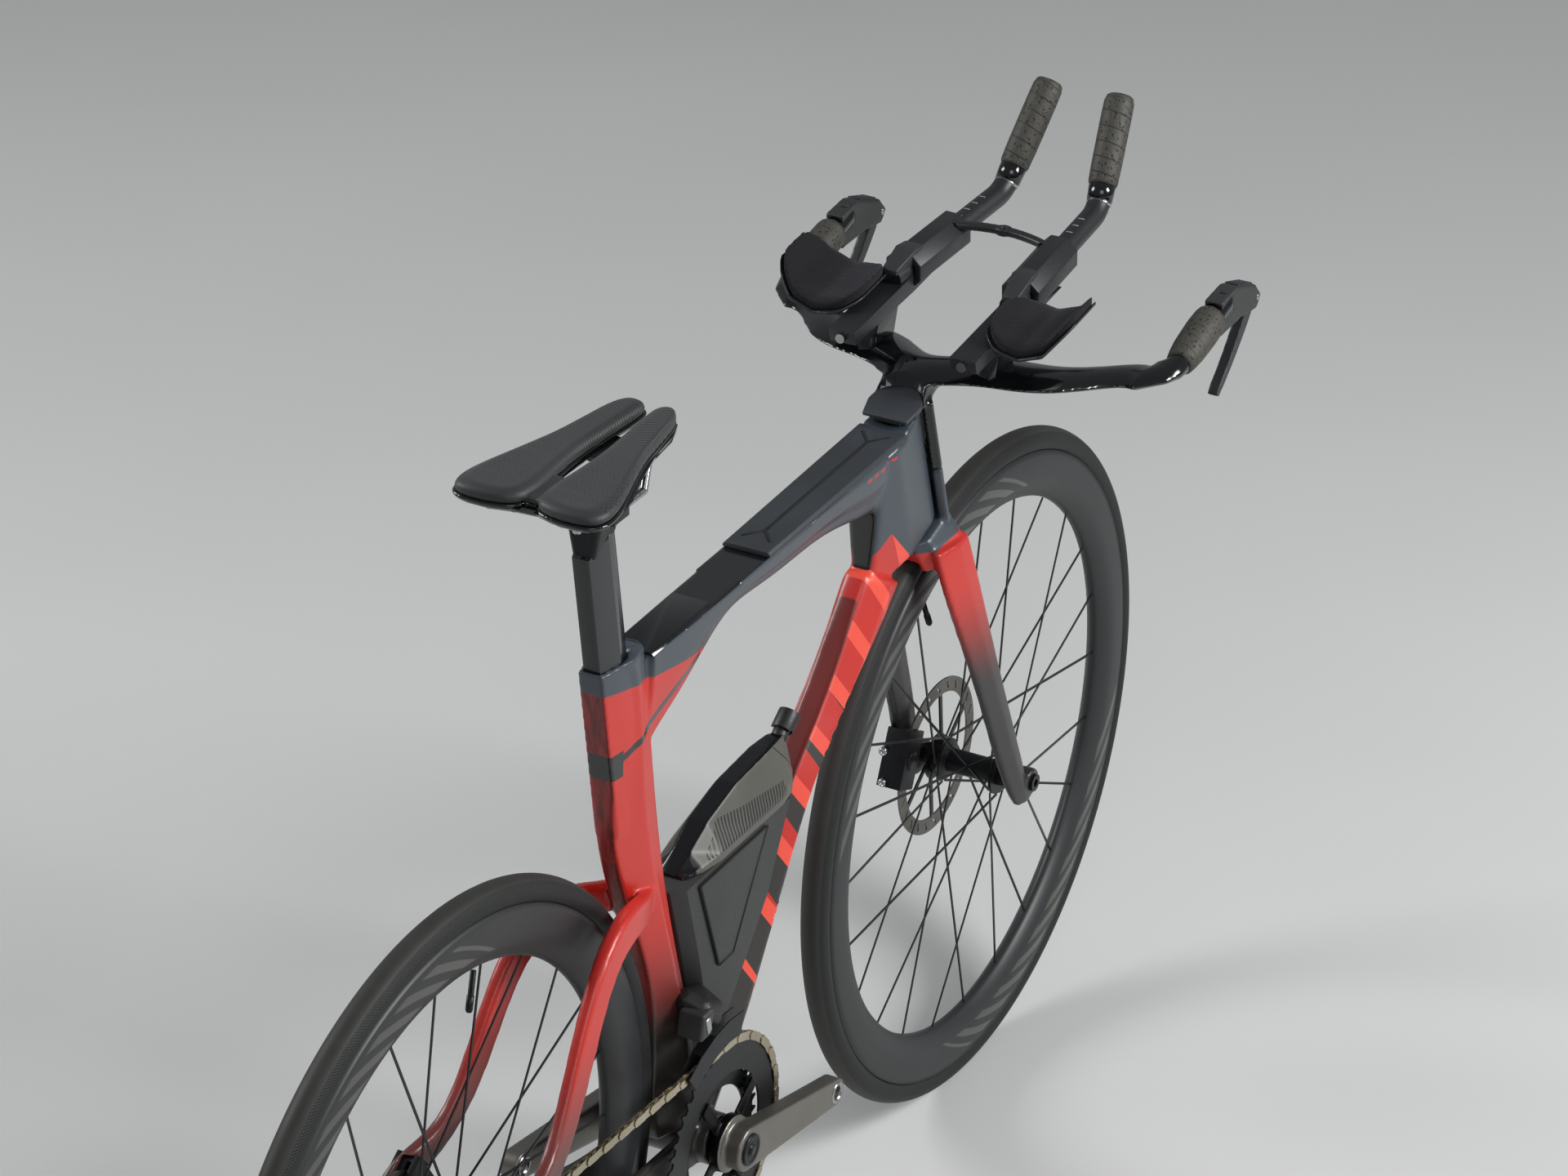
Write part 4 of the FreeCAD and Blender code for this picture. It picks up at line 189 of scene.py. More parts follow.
def dressed(piece, body, material, slot, *nodes):
    """Gives a finished piece its material and body; it stands for the nodes, which it hides. The
    slot is not used.
    """
    piece.data.materials.clear()
    piece.data.materials.append(material)
    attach(piece, body)
    if nodes:
        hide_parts(*nodes)
    return piece


def worked(operation, *values):
    """A sum over values and constants."""
    return add("ShaderNodeMath", dict(enumerate(values)), operation=operation), 0


def ranged(value, span=(0.0, 1.0), to=(0.0, 1.0)):
    """Maps one span of values to another."""
    ends = {"From Min": span[0], "From Max": span[1], "To Min": to[0], "To Max": to[1]}
    return add("ShaderNodeMapRange", {"Value": value, **ends}), 0


def split(value):
    """The X, Y and Z of a vector."""
    node = add("ShaderNodeSeparateXYZ", {0: value})
    return [(node, axis) for axis in range(3)]


def measured(value, way):
    """How far a vector reaches along a way."""
    return add("ShaderNodeVectorMath", {0: value, 1: way}, operation="DOT_PRODUCT"), "Value"


def bumped(height, strength, distance, invert=False):
    """A relief in the surface."""
    sockets = {"Height": height, "Strength": strength, "Distance": distance}
    return add("ShaderNodeBump", sockets, invert=invert), 0


def beats(value, spacing):
    """How far a value is through each spacing, from 0 to 1."""
    return worked("FRACT", worked("MULTIPLY", value, 1 / spacing))


def stripes(value, spacing, share):
    """A mask: 1 over a share of each spacing."""
    return worked("LESS_THAN", beats(value, spacing), share)


def both(*masks):
    """Where all of some masks are."""
    whole = masks[0]
    for mask in masks[1:]:
        whole = worked("MULTIPLY", whole, mask)
    return whole


tape_edge = 0.0007


def side(coords, normal, through, soft=tape_edge):
    """A mask: 1 behind the plane through a point, 0 where its normal points."""
    edge = sum(a * b for a, b in zip(normal, through))
    mask = ranged(measured((coords, "Object"), normal), (edge - soft, edge + soft), (1.0, 0.0))
    mask[0].interpolation_type = "SMOOTHSTEP"
    return mask


def zone(coords, *planes, soft=tape_edge):
    """A mask: 1 behind all of some planes, each a normal and a point."""
    return both(*(side(coords, normal, through, soft) for normal, through in planes))


def behind(x):
    """The plane that keeps what lies behind a place."""
    return [1, 0, 0], (x, 0, 0)


def ahead_of(x):
    """The plane that keeps what lies ahead of a place."""
    return [-1, 0, 0], (x, 0, 0)


def below(z):
    """The plane that keeps what lies below a height."""
    return [0, 0, 1], (0, 0, z)


def above(z):
    """The plane that keeps what lies above a height."""
    return [0, 0, -1], (0, 0, z)


def satin(coords):
    """The drift of the paint, its slate and red, its sheen and its orange-peel ripple."""
    drift = noise(coords, 6.0, 3.0)
    slate = mixed(drift, "#2d343b", "#3c454e")
    red = mixed(drift, "#a81e17", "#c2281d")
    ripple = bumped(noise(coords, 420.0, 2.0), 0.03, 0.0004)
    return drift, slate, red, ranged(drift, to=(0.34, 0.44)), ripple


# Satin paint on carbon: slate over red with crisp taped edges, fading to dark at the bottom;
# a fine orange-peel ripple and a thin clear coat soften the highlights.
frame_paint, shader, coords = surface("satin_paint_on_carbon", {"Coat Roughness": 0.2})
drift, slate, red, sheen, ripple = satin(coords)
spots = split((coords, "Object"))
facing = split((coords, "Normal"))
low_grey = mixed(drift, "#232120", "#33302c")
head_low = zone(
    coords,
    ([-0.7, 0, 1], (0.225, 0, 0.668)), ([1.1, 0, 1], (0.262, 0, 0.694)), ahead_of(-0.057),
)
seat_low = zone(coords, ([0.165, 0, 1], (-0.239, 0, 0.760)), behind(-0.057))
# Slanted bars along the down tube: wide and merged at the head, thin at the bottom bracket, with
# paler bars of the same slant over the red.
bar_spacing = 0.046
pale_share = 0.3
beat = beats(measured((coords, "Object"), [0.92, 0, 0.38]), bar_spacing)
bar_share = ranged(measured((coords, "Object"), [0.62, 0, 0.785]), (0.25, 0.56), (0.0, 1.02))
pale_red = mixed(drift, "#d8402f", "#e2523e")
front_red = mixed(worked("LESS_THAN", beat, pale_share), red, pale_red)
front_tone = mixed(worked("LESS_THAN", beat, bar_share), low_grey, front_red)
fade = side(coords, *above(0.440), 0.065)
rear_tone = mixed(fade, low_grey, red)
colour = mixed(head_low, slate, front_tone)
colour = mixed(seat_low, colour, rear_tone)
# The rear faces show the long grain of the bare carbon, in a darker red that is partly painted
# shade.
tail = ranged(facing[0], (-0.84, -0.92))
stretch = add("ShaderNodeMapping", {"Vector": (coords, "Object"), "Scale": [1.0, 1.0, 0.06]})
grain = add("ShaderNodeTexNoise", {"Vector": (stretch, 0), "Scale": 260.0, "Detail": 4.0})
grain_and_shade_tone = mixed(ranged((grain, 0), (0.35, 0.65)), "#4a120e", "#8a1d16")
colour = mixed(both(tail, seat_low, fade), colour, grain_and_shade_tone)
# Painted shade: the down tube's rear-facing upper face is painted a darker copy of its red and
# bars.
down_face_painted_shade = ranged(measured((coords, "Normal"), [-0.8, 0, 0.6]), (0.80, 0.87))
down_face_painted_shade = both(down_face_painted_shade, head_low, side(coords, *behind(0.215)))
colour = mixed(down_face_painted_shade, colour, mixed(bar_share, "#1c1412", "#6a140f"))
# A dark stripe up the seat tube, a dark joint band on its rear edge, the rear faces just behind
# the head painted near black, and the gloss black top of the tube behind the lid.
stripe_half = 0.0036
stripe = zone(
    coords,
    ([-0.30, 0, 1], (-0.226, 0, 0.688 + stripe_half)),
    ([0.30, 0, -1], (-0.226, 0, 0.688 - stripe_half)),
    behind(-0.085),
)
band = zone(coords, below(0.699), above(0.674), behind(-0.214))
pocket = both(side(coords, *ahead_of(0.205)), tail)
marks = worked("MAXIMUM", worked("MAXIMUM", stripe, band), pocket)
back_panel = both(
    ranged(worked("ABSOLUTE", spots[1]), (0.0222, 0.0216)), ranged(facing[2], (0.5, 0.6)),
    zone(coords, behind(0.030), ahead_of(-0.178)),
    side(coords, *above(0.755)),
)
marks = worked("MAXIMUM", marks, back_panel)
colour = mixed(marks, colour, "#0b0c0e")
# A row of short red dashes along each side of the head.
dash_spacing = 0.0125
dash_share = 0.6
dash_edge = 0.0003
dash_row = both(
    zone(coords, below(0.7750), above(0.7718), soft=dash_edge),
    stripes(spots[0], dash_spacing, dash_share),
    side(coords, *ahead_of(0.196)), side(coords, *behind(0.262)),
    ranged(worked("ABSOLUTE", facing[1]), (0.6, 0.7)),
)
colour = mixed(dash_row, colour, "#a8241b")
sheen = add("ShaderNodeMix", {0: marks, 2: sheen, 3: 0.16}, data_type="FLOAT"), 0
clear = ranged(marks, to=(0.22, 0.5))
join(shader, {"Base Color": colour, "Roughness": sheen, "Normal": ripple, "Coat Weight": clear})

frame_nodes = (
    "head_tube", "top_tube", "down_tube", "seat_tube", "bottom_bracket_shell", "seat_stays",
    "chain_stays",
)
# The post's bore is filled while the tubes are blended, so that its thin walls stay whole, and is
# then cut again to the post's own section.
post_lean = -0.1675
post_middle = Vector((-0.2049, 0, 0.700))
bore_wall = 0.0036
bore_top = 0.781
bore_floor = 0.615


def post_core(name, grow, top, floor):
    """The seat post's form in the frame, grown all round, between two heights."""
    shape = solids("seatpost")
    whole = shape.verts[:] + shape.edges[:] + shape.faces[:]
    cut = bmesh.ops.bisect_plane(
        shape, geom=whole, plane_co=(0, 0, top), plane_no=(0, 0, 1), clear_outer=True
    )
    rim = [part for part in cut["geom_cut"] if isinstance(part, bmesh.types.BMEdge)]
    bmesh.ops.contextual_create(shape, geom=rim)
    foot = min(vertex.co.z for vertex in shape.verts)
    for vertex in shape.verts:
        axis = post_middle.x + post_lean * (vertex.co.z - post_middle.z)
        vertex.co.x += math.copysign(grow, vertex.co.x - axis)
        vertex.co.y += math.copysign(grow, vertex.co.y) if abs(vertex.co.y) > grow else 0.0
        if vertex.co.z < foot + grow:
            vertex.co.x += post_lean * (floor - foot)
            vertex.co.z += floor - foot
    bmesh.ops.recalc_face_normals(shape, faces=shape.faces)
    return placed(name, shape)


blend = solids(*frame_nodes)
core = post_core("core", bore_wall, bore_top, bore_floor)
blend.from_mesh(core.data)
bpy.data.objects.remove(core)
bmesh.ops.remove_doubles(blend, verts=blend.verts, dist=weld)
shell_grid = 0.0019
shell = moulded(placed("frame_shell", blend), shell_grid, 5)
# The head flows into both tubes over a finger's width.
flow_start = Vector((0.15, 0, 0.61))
flow_run = 0.035
flow = shell.vertex_groups.new(name="flow")
for vertex in shell.data.vertices:
    inward = min(vertex.co.x - flow_start.x, vertex.co.z - flow_start.z) / flow_run
    if inward > 0:
        flow.add([vertex.index], min(1.0, inward), "REPLACE")
ease = shell.modifiers.new("flow", "SMOOTH")
ease.factor = 0.5
ease.iterations = 45
ease.vertex_group = flow.name
most_faces = 190000
thin = shell.modifiers.new("thin", "DECIMATE")
thin.ratio = min(1.0, most_faces / (2 * len(shell.data.polygons)))
settled(shell)


def carved(piece, tool, operation="DIFFERENCE"):
    """Cuts a closed piece with another, or keeps what both share, and drops the tool."""
    cut = piece.modifiers.new("carve", "BOOLEAN")
    cut.operation = operation
    cut.solver = "MANIFOLD"
    cut.object = tool
    settled(piece)
    bpy.data.objects.remove(tool)
    return piece


post_gap = 0.0003
post_way_out = 0.82
post_room = 0.624
carved(shell, post_core("bore", post_gap, post_way_out, post_room))
shell.data.shade_smooth()
dressed(shell, "frame", frame_paint, "slate_paint", *frame_nodes)


# The covers on the top tube: a soft rubber lid over the pocket for food, with a long slit that
# splits in two at each end, and a gloss cover plate behind it, both pressed into the frame.
def softened(piece, width, rings=2, crease=30):
    """Rounds a piece's hard edges and shades the rest smooth."""
    shape = bmesh.new()
    shape.from_mesh(piece.data)
    bmesh.ops.dissolve_limit(shape, angle_limit=0.01, verts=shape.verts, edges=shape.edges)
    shape.to_mesh(piece.data)
    shape.free()
    round_off = piece.modifiers.new("round", "BEVEL")
    round_off.width = width
    round_off.segments = rings
    round_off.limit_method = "ANGLE"
    round_off.angle_limit = math.radians(crease)
    settled(piece)
    piece.data.shade_smooth()
    piece.data.set_sharp_from_angle(angle=math.radians(crease + 20))
    return piece


def eased(name, node, body, material, slot, width, rings=3):
    """A node's solids with rounded edges, as a dressed piece."""
    return dressed(softened(copied(name, node), width, rings), body, material, slot, node)


def skinned(shader, tone, gloss, relief):
    """Gives a shader its colour, its roughness and its relief."""
    join(shader, {"Base Color": tone, "Roughness": gloss, "Normal": relief})


def grained(name, dark, light, size, rough, relief, sockets=None):
    """A material whose colour and gloss drift with a grain of a real size, in metres."""
    material, shader, coords = surface(name, sockets or {})
    fine = noise(coords, 1 / size, 2.0)
    tone = mixed(ranged(noise(coords, 9.0, 3.0), (0.3, 0.7)), dark, light)
    dent = bumped(fine, relief, size * 0.3)
    skinned(shader, tone, ranged(fine, (0.3, 0.7), rough), dent)
    return material


def block(shape, size, matrix):
    """Adds a box of a size at a place to a bmesh."""
    corners = bmesh.ops.create_cube(shape, size=1.0)["verts"]
    bmesh.ops.transform(shape, matrix=matrix @ Matrix.Diagonal((*size, 1)), verts=corners)


def bar(shape, start, end, width, height):
    """Adds a flat bar between two points to a bmesh."""
    start, end = Vector(start), Vector(end)
    run = end - start
    turn = run.to_track_quat("X", "Z").to_matrix().to_4x4()
    block(shape, (run.length, width, height), Matrix.Translation((start + end) / 2) @ turn)


# Moulded silicone rubber: near black, dull, with a soft stipple.
lid_rubber = grained("moulded_silicone_rubber", "#26292c", "#31353a", 0.0016, (0.52, 0.66), 0.12)
# Clear-lacquered carbon: deep black with sharp highlights and the faintest ripple.
lacquer = grained(
    "clear_lacquered_carbon", "#060708", "#0c0d0f", 0.004, (0.1, 0.17), 0.015,
    {"Coat Weight": 0.35, "Coat Roughness": 0.05},
)
# The shadow between two rubber lips: dull black.
gap_black = grained("shadowed_rubber_slit", "#030303", "#070707", 0.002, (0.75, 0.9), 0.1)
eased("lid", "storage_lid", "frame", lid_rubber, "soft_rubber", 0.0016)
eased("cover_plate", "top_tube_plate", "frame", lacquer, "black_lacquer", 0.0009, 2)
low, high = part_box("storage_lid")
near_end = 0.004
lid_points = [vertex.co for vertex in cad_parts["storage_lid"].data.vertices]
lid_top = {
    end: max(point.z for point in lid_points if abs(point.x - end) < near_end)
    for end in (low.x, high.x)
}
slit_width = 0.0028
slit_height = 0.0008
slit_ends = (low.x + 0.034, high.x - 0.03)
split_run = 0.017
split_half = 0.014
slits = bmesh.new()


def on_lid(x, y):
    """A point on the lid's upper face."""
    share = (x - low.x) / (high.x - low.x)
    return (x, y, lid_top[low.x] + (lid_top[high.x] - lid_top[low.x]) * share)


bar(slits, on_lid(slit_ends[0], 0), on_lid(slit_ends[1], 0), slit_width, slit_height)
for end, way in ((slit_ends[0], -1), (slit_ends[1], 1)):
    for hand in (1, -1):
        tip = on_lid(end + way * split_run, hand * split_half)
        bar(slits, on_lid(end, 0), tip, slit_width, slit_height)
dressed(placed("lid_slits", slits), "frame", gap_black, "soft_rubber")

# The seat post: an aero blade of lacquered carbon that slides in the seat tube, with an alloy
# cradle on top that two bolts clamp round the saddle rails.
# Lacquered carbon post: gloss sides, with a narrow satin strip marked in fine steps on its rear.
coats = {"Coat Weight": 0.3, "Coat Roughness": 0.06}
post_skin, shader, coords = surface("lacquered_carbon_post", coats)
spots = split((coords, "Object"))
strip_half = 0.0058
strip = both(
    ranged(split((coords, "Normal"))[0], (-0.9, -0.94)),
    worked("LESS_THAN", worked("ABSOLUTE", spots[1]), strip_half),
    side(coords, *below(0.898)),
)
step_spacing = 0.004
step_share = 0.12
body_black = mixed(noise(coords, 10.0, 3.0), "#0b0d11", "#14181e")
strip_black = mixed(stripes(spots[2], step_spacing, step_share), "#060606", "#232422")
tone = mixed(strip, body_black, strip_black)
join(shader, {"Base Color": tone, "Roughness": ranged(strip, to=(0.2, 0.42))})
# The blade ends in a slant, higher in front, under its alloy head.
slant_middle = Vector((-0.240, 0, 0.9055))
slant_way = Vector((0.046, 0, 0.025)).normalized()
slant_up = Vector((-slant_way.z, 0, slant_way.x))
slant_reach = 0.06
slant_depth = 0.05
slant = bmesh.new()
slant_line = slant_middle + slant_up * slant_depth / 2
slant_run = slant_way * slant_reach
bar(slant, slant_line - slant_run, slant_line + slant_run, slant_reach, slant_depth)
post = softened(carved(copied("post", "seatpost"), placed("slant_tool", slant)), 0.0022, 3, 24)
dressed(post, "seatpost", post_skin, "black_lacquer", "seatpost")
# Bead-blasted forged aluminium: warm mid grey, fine grain, broad highlights.
grey_alloy = grained(
    "bead_blasted_aluminium", "#77756f", "#8d8a83", 0.0014, (0.36, 0.48), 0.08, {"Metallic": 0.9}
)
# Black anodised aluminium: dark, half-dull, with a metal edge in its highlights.
dark_alloy = grained(
    "black_anodised_aluminium", "#141517", "#1e1f22", 0.0014, (0.32, 0.44), 0.06, {"Metallic": 0.6}
)
# Drawn stainless steel: bright, with a fine grain.
bright_steel = grained(
    "drawn_stainless_steel", "#9a9b9c", "#b8b9ba", 0.0015, (0.16, 0.28), 0.04, {"Metallic": 1.0}
)


def coat(material, *nodes):
    """Gives nodes that stay as they are their material."""
    for node in nodes:
        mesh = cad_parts[node].data
        mesh.materials.clear()
        mesh.materials.append(material)


def spun(profile, start, way, steps, closed=False):
    """Spins an outline of lengths along an axis and radii about that axis."""
    shape = bmesh.new()
    start = Vector(start)
    way = Vector(way).normalized()
    across = way.orthogonal().normalized()
    ring = [shape.verts.new(start + way * along + across * radius) for along, radius in profile]
    pairs = list(zip(ring, ring[1:])) + ([(ring[-1], ring[0])] if closed else [])
    edges = [shape.edges.new(pair) for pair in pairs]
    bmesh.ops.spin(
        shape, geom=ring + edges, cent=start, axis=way, angle=math.tau, steps=steps, use_merge=True
    )
    bmesh.ops.remove_doubles(shape, verts=shape.verts, dist=weld)
    bmesh.ops.recalc_face_normals(shape, faces=shape.faces)
    return shape


def gathered(name, shapes):
    """Joins several bmeshes into one piece."""
    whole = bmesh.new()
    for shape in shapes:
        part = bpy.data.meshes.new("part")
        shape.to_mesh(part)
        shape.free()
        whole.from_mesh(part)
        bpy.data.meshes.remove(part)
    return placed(name, whole)


def bolt(head, way, radius, length):
    """A cap screw: a round head with a socket, its top at a point and its shank away from it."""
    socket = radius * 0.55
    chamfer = radius * 0.18
    profile = (
        (socket, 0), (socket, socket), (0, socket), (0, radius - chamfer), (chamfer, radius),
        (length, radius), (length, 0),
    )
    return spun(profile, head, way, 20)


def hulled(name, corners):
    """A tight skin round a set of balls."""
    balls = bmesh.new()
    for place, radius in corners:
        spot = Matrix.Translation(place)
        bmesh.ops.create_icosphere(balls, subdivisions=2, radius=radius, matrix=spot)
    skin = bmesh.new()
    for vertex in balls.verts:
        skin.verts.new(vertex.co)
    balls.free()
    bmesh.ops.convex_hull(skin, input=skin.verts)
    spare = [vertex for vertex in skin.verts if not vertex.link_faces]
    bmesh.ops.delete(skin, geom=spare, context="VERTS")
    bmesh.ops.recalc_face_normals(skin, faces=skin.faces)
    return placed(name, skin)


# Places of the round corners of the post's head.
head_round = 0.0055
head_corners = tuple(
    (place, head_round)
    for hand in (1, -1)
    for place in (
        (-0.253, hand * head_round, 0.896), (-0.223, hand * head_round, 0.909),
        (-0.253, hand * 0.0120, 0.930), (-0.228, hand * 0.0120, 0.930),
    )
)
post_head = moulded(hulled("post_head", head_corners), 0.0009, 3)
dressed(post_head, "seatpost", dark_alloy, "grey_metal")
eased("rail_cradle", "saddle_clamp", "seatpost", dark_alloy, "grey_metal", 0.0016)
coat(bright_steel, "saddle_rails")
coat(grey_alloy, "seat_clamp")
low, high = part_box("saddle_clamp")
cradle_bolt_radius = 0.0042
cradle_bolt_length = 0.012
cradle_bolt_low = low.z - cradle_bolt_length * 0.6
cradle_bolts = [
    bolt((x, 0, cradle_bolt_low), (0, 0, 1), cradle_bolt_radius, cradle_bolt_length)
    for x in (low.x - cradle_bolt_radius * 0.6, high.x + cradle_bolt_radius * 0.6)
]
dressed(gathered("cradle_bolts", cradle_bolts), "seatpost", bright_steel, "bright_steel")

# The saddle: two moulded foam halves on a gloss carbon shell, joined by a shallow valley at the
# rear and split at the nose; the cover is embossed with fine ribs and perforated.
# Embossed microfibre: charcoal, dull, fine cross ribs at the nose and dotted bands at the rear.
cover_sheen = {"Sheen Weight": 0.1, "Sheen Roughness": 0.5}
cover, shader, coords = surface("embossed_microfibre", cover_sheen)
pores = noise(coords, 700.0, 2.0)
spots = split((coords, "Object"))
out = worked("ABSOLUTE", spots[1])


def waves(value, scale):
    """Even ripples along a value."""
    return worked("SINE", worked("MULTIPLY", value, scale))


# The ribs stand 3.4 mm apart, drawn coarser than the real 2 mm so that they show.
rib_spacing = 0.0034
rib = waves(worked("MULTIPLY_ADD", out, -0.5, spots[0]), math.tau / rib_spacing)
rib = both(rib, side(coords, *ahead_of(-0.236), 0.012))
# Perforations: staggered dots in cross bands, drawn coarser than the real 2 mm spacing.
hole_spacing = 0.0040
holes_x = worked("MULTIPLY", spots[0], 1 / hole_spacing)
holes_y = worked("MULTIPLY", spots[1], 1 / hole_spacing)
holes_y = worked("MULTIPLY_ADD", worked("FLOOR", holes_x), 0.5, holes_y)
cell = add("ShaderNodeCombineXYZ", {0: worked("FRACT", holes_x), 1: worked("FRACT", holes_y)})
reach = add("ShaderNodeVectorMath", {0: (cell, 0), 1: [0.5, 0.5, 0]}, operation="DISTANCE")
band_spacing = 0.016
band_share = 0.76
bands = stripes(spots[0], band_spacing, band_share)
rear_edge = 0.003
rear_area = zone(coords, behind(-0.248), ahead_of(-0.336), soft=rear_edge)
wings = ranged(out, (0.018, 0.020))
dot = both(both(ranged((reach, "Value"), (0.28, 0.2)), bands), both(rear_area, wings))
tone = mixed(noise(coords, 14.0, 3.0), "#1e1f20", "#2a2b2c")
# Painted shade: the rib grooves are painted darker and the perforations near black, as the shade in
# them.
tone = mixed(ranged(rib, (-0.2, -0.9)), tone, "#111112")
tone = mixed(dot, tone, "#030303")
height = worked("SUBTRACT", worked("MULTIPLY_ADD", rib, 0.3, 0.5), dot)
height = worked("MULTIPLY_ADD", pores, 0.2, height)
gloss = ranged(pores, to=(0.48, 0.62))
skinned(shader, tone, gloss, bumped(height, 0.7, 0.0007))

low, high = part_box("saddle_pad")
cover_drop = 0.0105
cushion_bottom = low.z + cover_drop
cushion_height = high.z - cushion_bottom
saddle_length = high.x - low.x
# One half in plan: share of the length behind the nose, share of the half width.
saddle_shares = (
    (0.02, 0.08), (0.0, 0.19), (0.02, 0.32), (0.09, 0.43), (0.25, 0.51), (0.42, 0.6), (0.6, 0.77),
    (0.76, 0.93), (0.88, 1.01), (0.96, 0.98), (1.0, 0.83), (1.0, 0.4), (0.96, 0.1), (0.84, 0.05),
    (0.7, 0.09), (0.5, 0.13), (0.28, 0.09), (0.08, 0.05),
)
corner_rounds = 3


def lofted(shape, rings):
    """Closes a skin over rings of points and adds it to a bmesh."""
    rows = [[shape.verts.new(point) for point in ring] for ring in rings]
    for here, there in zip(rows, rows[1:]):
        for step in range(len(here)):
            after = (step + 1) % len(here)
            shape.faces.new((here[step], here[after], there[after], there[step]))
    shape.faces.new(rows[0])
    shape.faces.new(rows[-1])
    bmesh.ops.recalc_face_normals(shape, faces=shape.faces)


def saddle_halves(sections):
    """Both halves of the saddle, skinned over sections of a height and a drawing-in."""
    outline = list(saddle_shares)
    for _ in range(corner_rounds):
        outline = [
            (here[0] + (there[0] - here[0]) * share, here[1] + (there[1] - here[1]) * share)
            for here, there in zip(outline, outline[1:] + outline[:1])
            for share in (0.25, 0.75)
        ]
    shape = bmesh.new()
    for hand in (1, -1):
        rings = []
        for z, draw in sections:
            ring = []
            for back, out in outline:
                back = 0.5 + (back - 0.5) * (1 - draw * 0.25)
                out = 0.45 + (out - 0.45) * (1 - draw)
                ring.append((high.x - saddle_length * back, hand * high.y * out, z))
            rings.append(ring)
        lofted(shape, rings)
    return shape


# Height in the cushion and drawing-in of each section.
cushion_shares = ((0.0, 0.06), (0.35, 0.0), (0.72, 0.06), (1.0, 0.26))
halves = saddle_halves(
    [(cushion_bottom + cushion_height * up, draw) for up, draw in cushion_shares]
)
valley_size = (0.046, 0.030, 0.006)
valley_middle = Vector((low.x + 0.040, 0, cushion_bottom + 0.0022))
block(halves, valley_size, Matrix.Translation(valley_middle))
pad = moulded(placed("saddle_cover", halves), 0.0015, 8)
dressed(pad, "seatpost", cover, "saddle_cover", "saddle_pad")
# The shell's gloss lip stands proud under the cushion all the way round.
lip_height = 0.0055
lip_bite = 0.0006
lip_shares = ((-lip_height, 0.06), (-lip_height * 0.4, -0.03), (lip_bite, -0.03))
lip = saddle_halves([(cushion_bottom + up, draw) for up, draw in lip_shares])
block(lip, valley_size, Matrix.Translation(valley_middle - Vector((0, 0, lip_height))))
rim_lip = moulded(placed("saddle_lip", lip), 0.0013, 3)
dressed(rim_lip, "seatpost", lacquer, "black_lacquer")
base = copied("saddle_base", "saddle_shell")
base_lift = cushion_bottom - lip_height / 2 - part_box("saddle_shell")[1].z
for vertex in base.data.vertices:
    vertex.co.z += base_lift
softened(base, 0.0018, 3)
dressed(base, "seatpost", lacquer, "black_lacquer", "saddle_shell")

# The fork: a carbon moulding with a steerer inside the head tube, two blades and a nose that
# covers the front of the head; slate at the crown, red on the blades, fading to black tips.
# Satin paint on carbon, as on the frame, with the fade sprayed across both blades.
coats = {"Coat Weight": 0.22, "Coat Roughness": 0.2}
fork_paint, shader, coords = surface("satin_paint_on_fork", coats)
drift, slate, red, sheen, ripple = satin(coords)
tip = mixed(drift, "#161617", "#24201f")
fade = side(coords, [-0.2, 0, -1], (0.40, 0, 0.545), 0.06)
crown_line = side(coords, [-0.12, 0, 1], (0.35, 0, 0.653))
colour = mixed(crown_line, slate, mixed(fade, tip, red))
skinned(shader, colour, sheen, ripple)


def cast(name, node, body, material, slot, grid, rounds):
    """A node's solids melted into one smooth, dressed piece."""
    return dressed(moulded(copied(name, node), grid, rounds), body, material, slot, node)


cast("fork_blades", "fork", "fork", fork_paint, "red_paint", 0.0018, 14)

# The base bar and stem: one lacquered carbon wing that sweeps back to the stem and turns forward
# into round bar ends; a D-shaped rubber cap closes the steerer.
steer_up = Vector((-0.3007, 0, 0.9537))
steer_ahead = Vector((0.9537, 0, 0.3007))
cap_rear = Vector((0.2785, 0, 0.7955))
cap_length = 0.046
cap_half = 0.026
cap_thickness = 0.0042
cap_turns = 14
cap_straight = cap_length * 0.42


def raised(shape, ring, lift):
    """Closes a ring of points and raises it into a solid."""
    face = shape.faces.new([shape.verts.new(point) for point in ring])
    grown = bmesh.ops.extrude_face_region(shape, geom=[face])["geom"]
    top = [part for part in grown if isinstance(part, bmesh.types.BMVert)]
    bmesh.ops.translate(shape, verts=top, vec=lift)
    bmesh.ops.recalc_face_normals(shape, faces=shape.faces)


def cap_plate(name, height, grow):
    """A D-shaped plate square to the steerer: straight at the rear, round in front."""
    outline = [(-grow, -cap_half * 0.86 - grow), (cap_straight, -cap_half - grow)]
    for step in range(1, cap_turns):
        swing = math.pi * (step / cap_turns - 0.5)
        reach = (cap_length - cap_straight + grow) * math.cos(swing)
        outline.append((cap_straight + reach, (cap_half + grow) * math.sin(swing)))
    outline += [(cap_straight, cap_half + grow), (-grow, cap_half * 0.86 + grow)]
    shape = bmesh.new()
    ring = [cap_rear + steer_ahead * along + Vector((0, out, 0)) for along, out in outline]
    raised(shape, ring, steer_up * height)
    return placed(name, shape)


wing = moulded(copied("wing_bar", "base_bar"), 0.0018, 6)
cap_gap = 0.0009
cap_way_out = 0.05
carved(wing, cap_plate("cap_room", cap_way_out, cap_gap))
wing.data.shade_smooth()
dressed(wing, "fork", lacquer, "black_lacquer", "base_bar")
cap = softened(cap_plate("steerer_cap", cap_thickness, 0.0), 0.0012, 3)
dressed(cap, "fork", lid_rubber, "soft_rubber", "stem_cap")

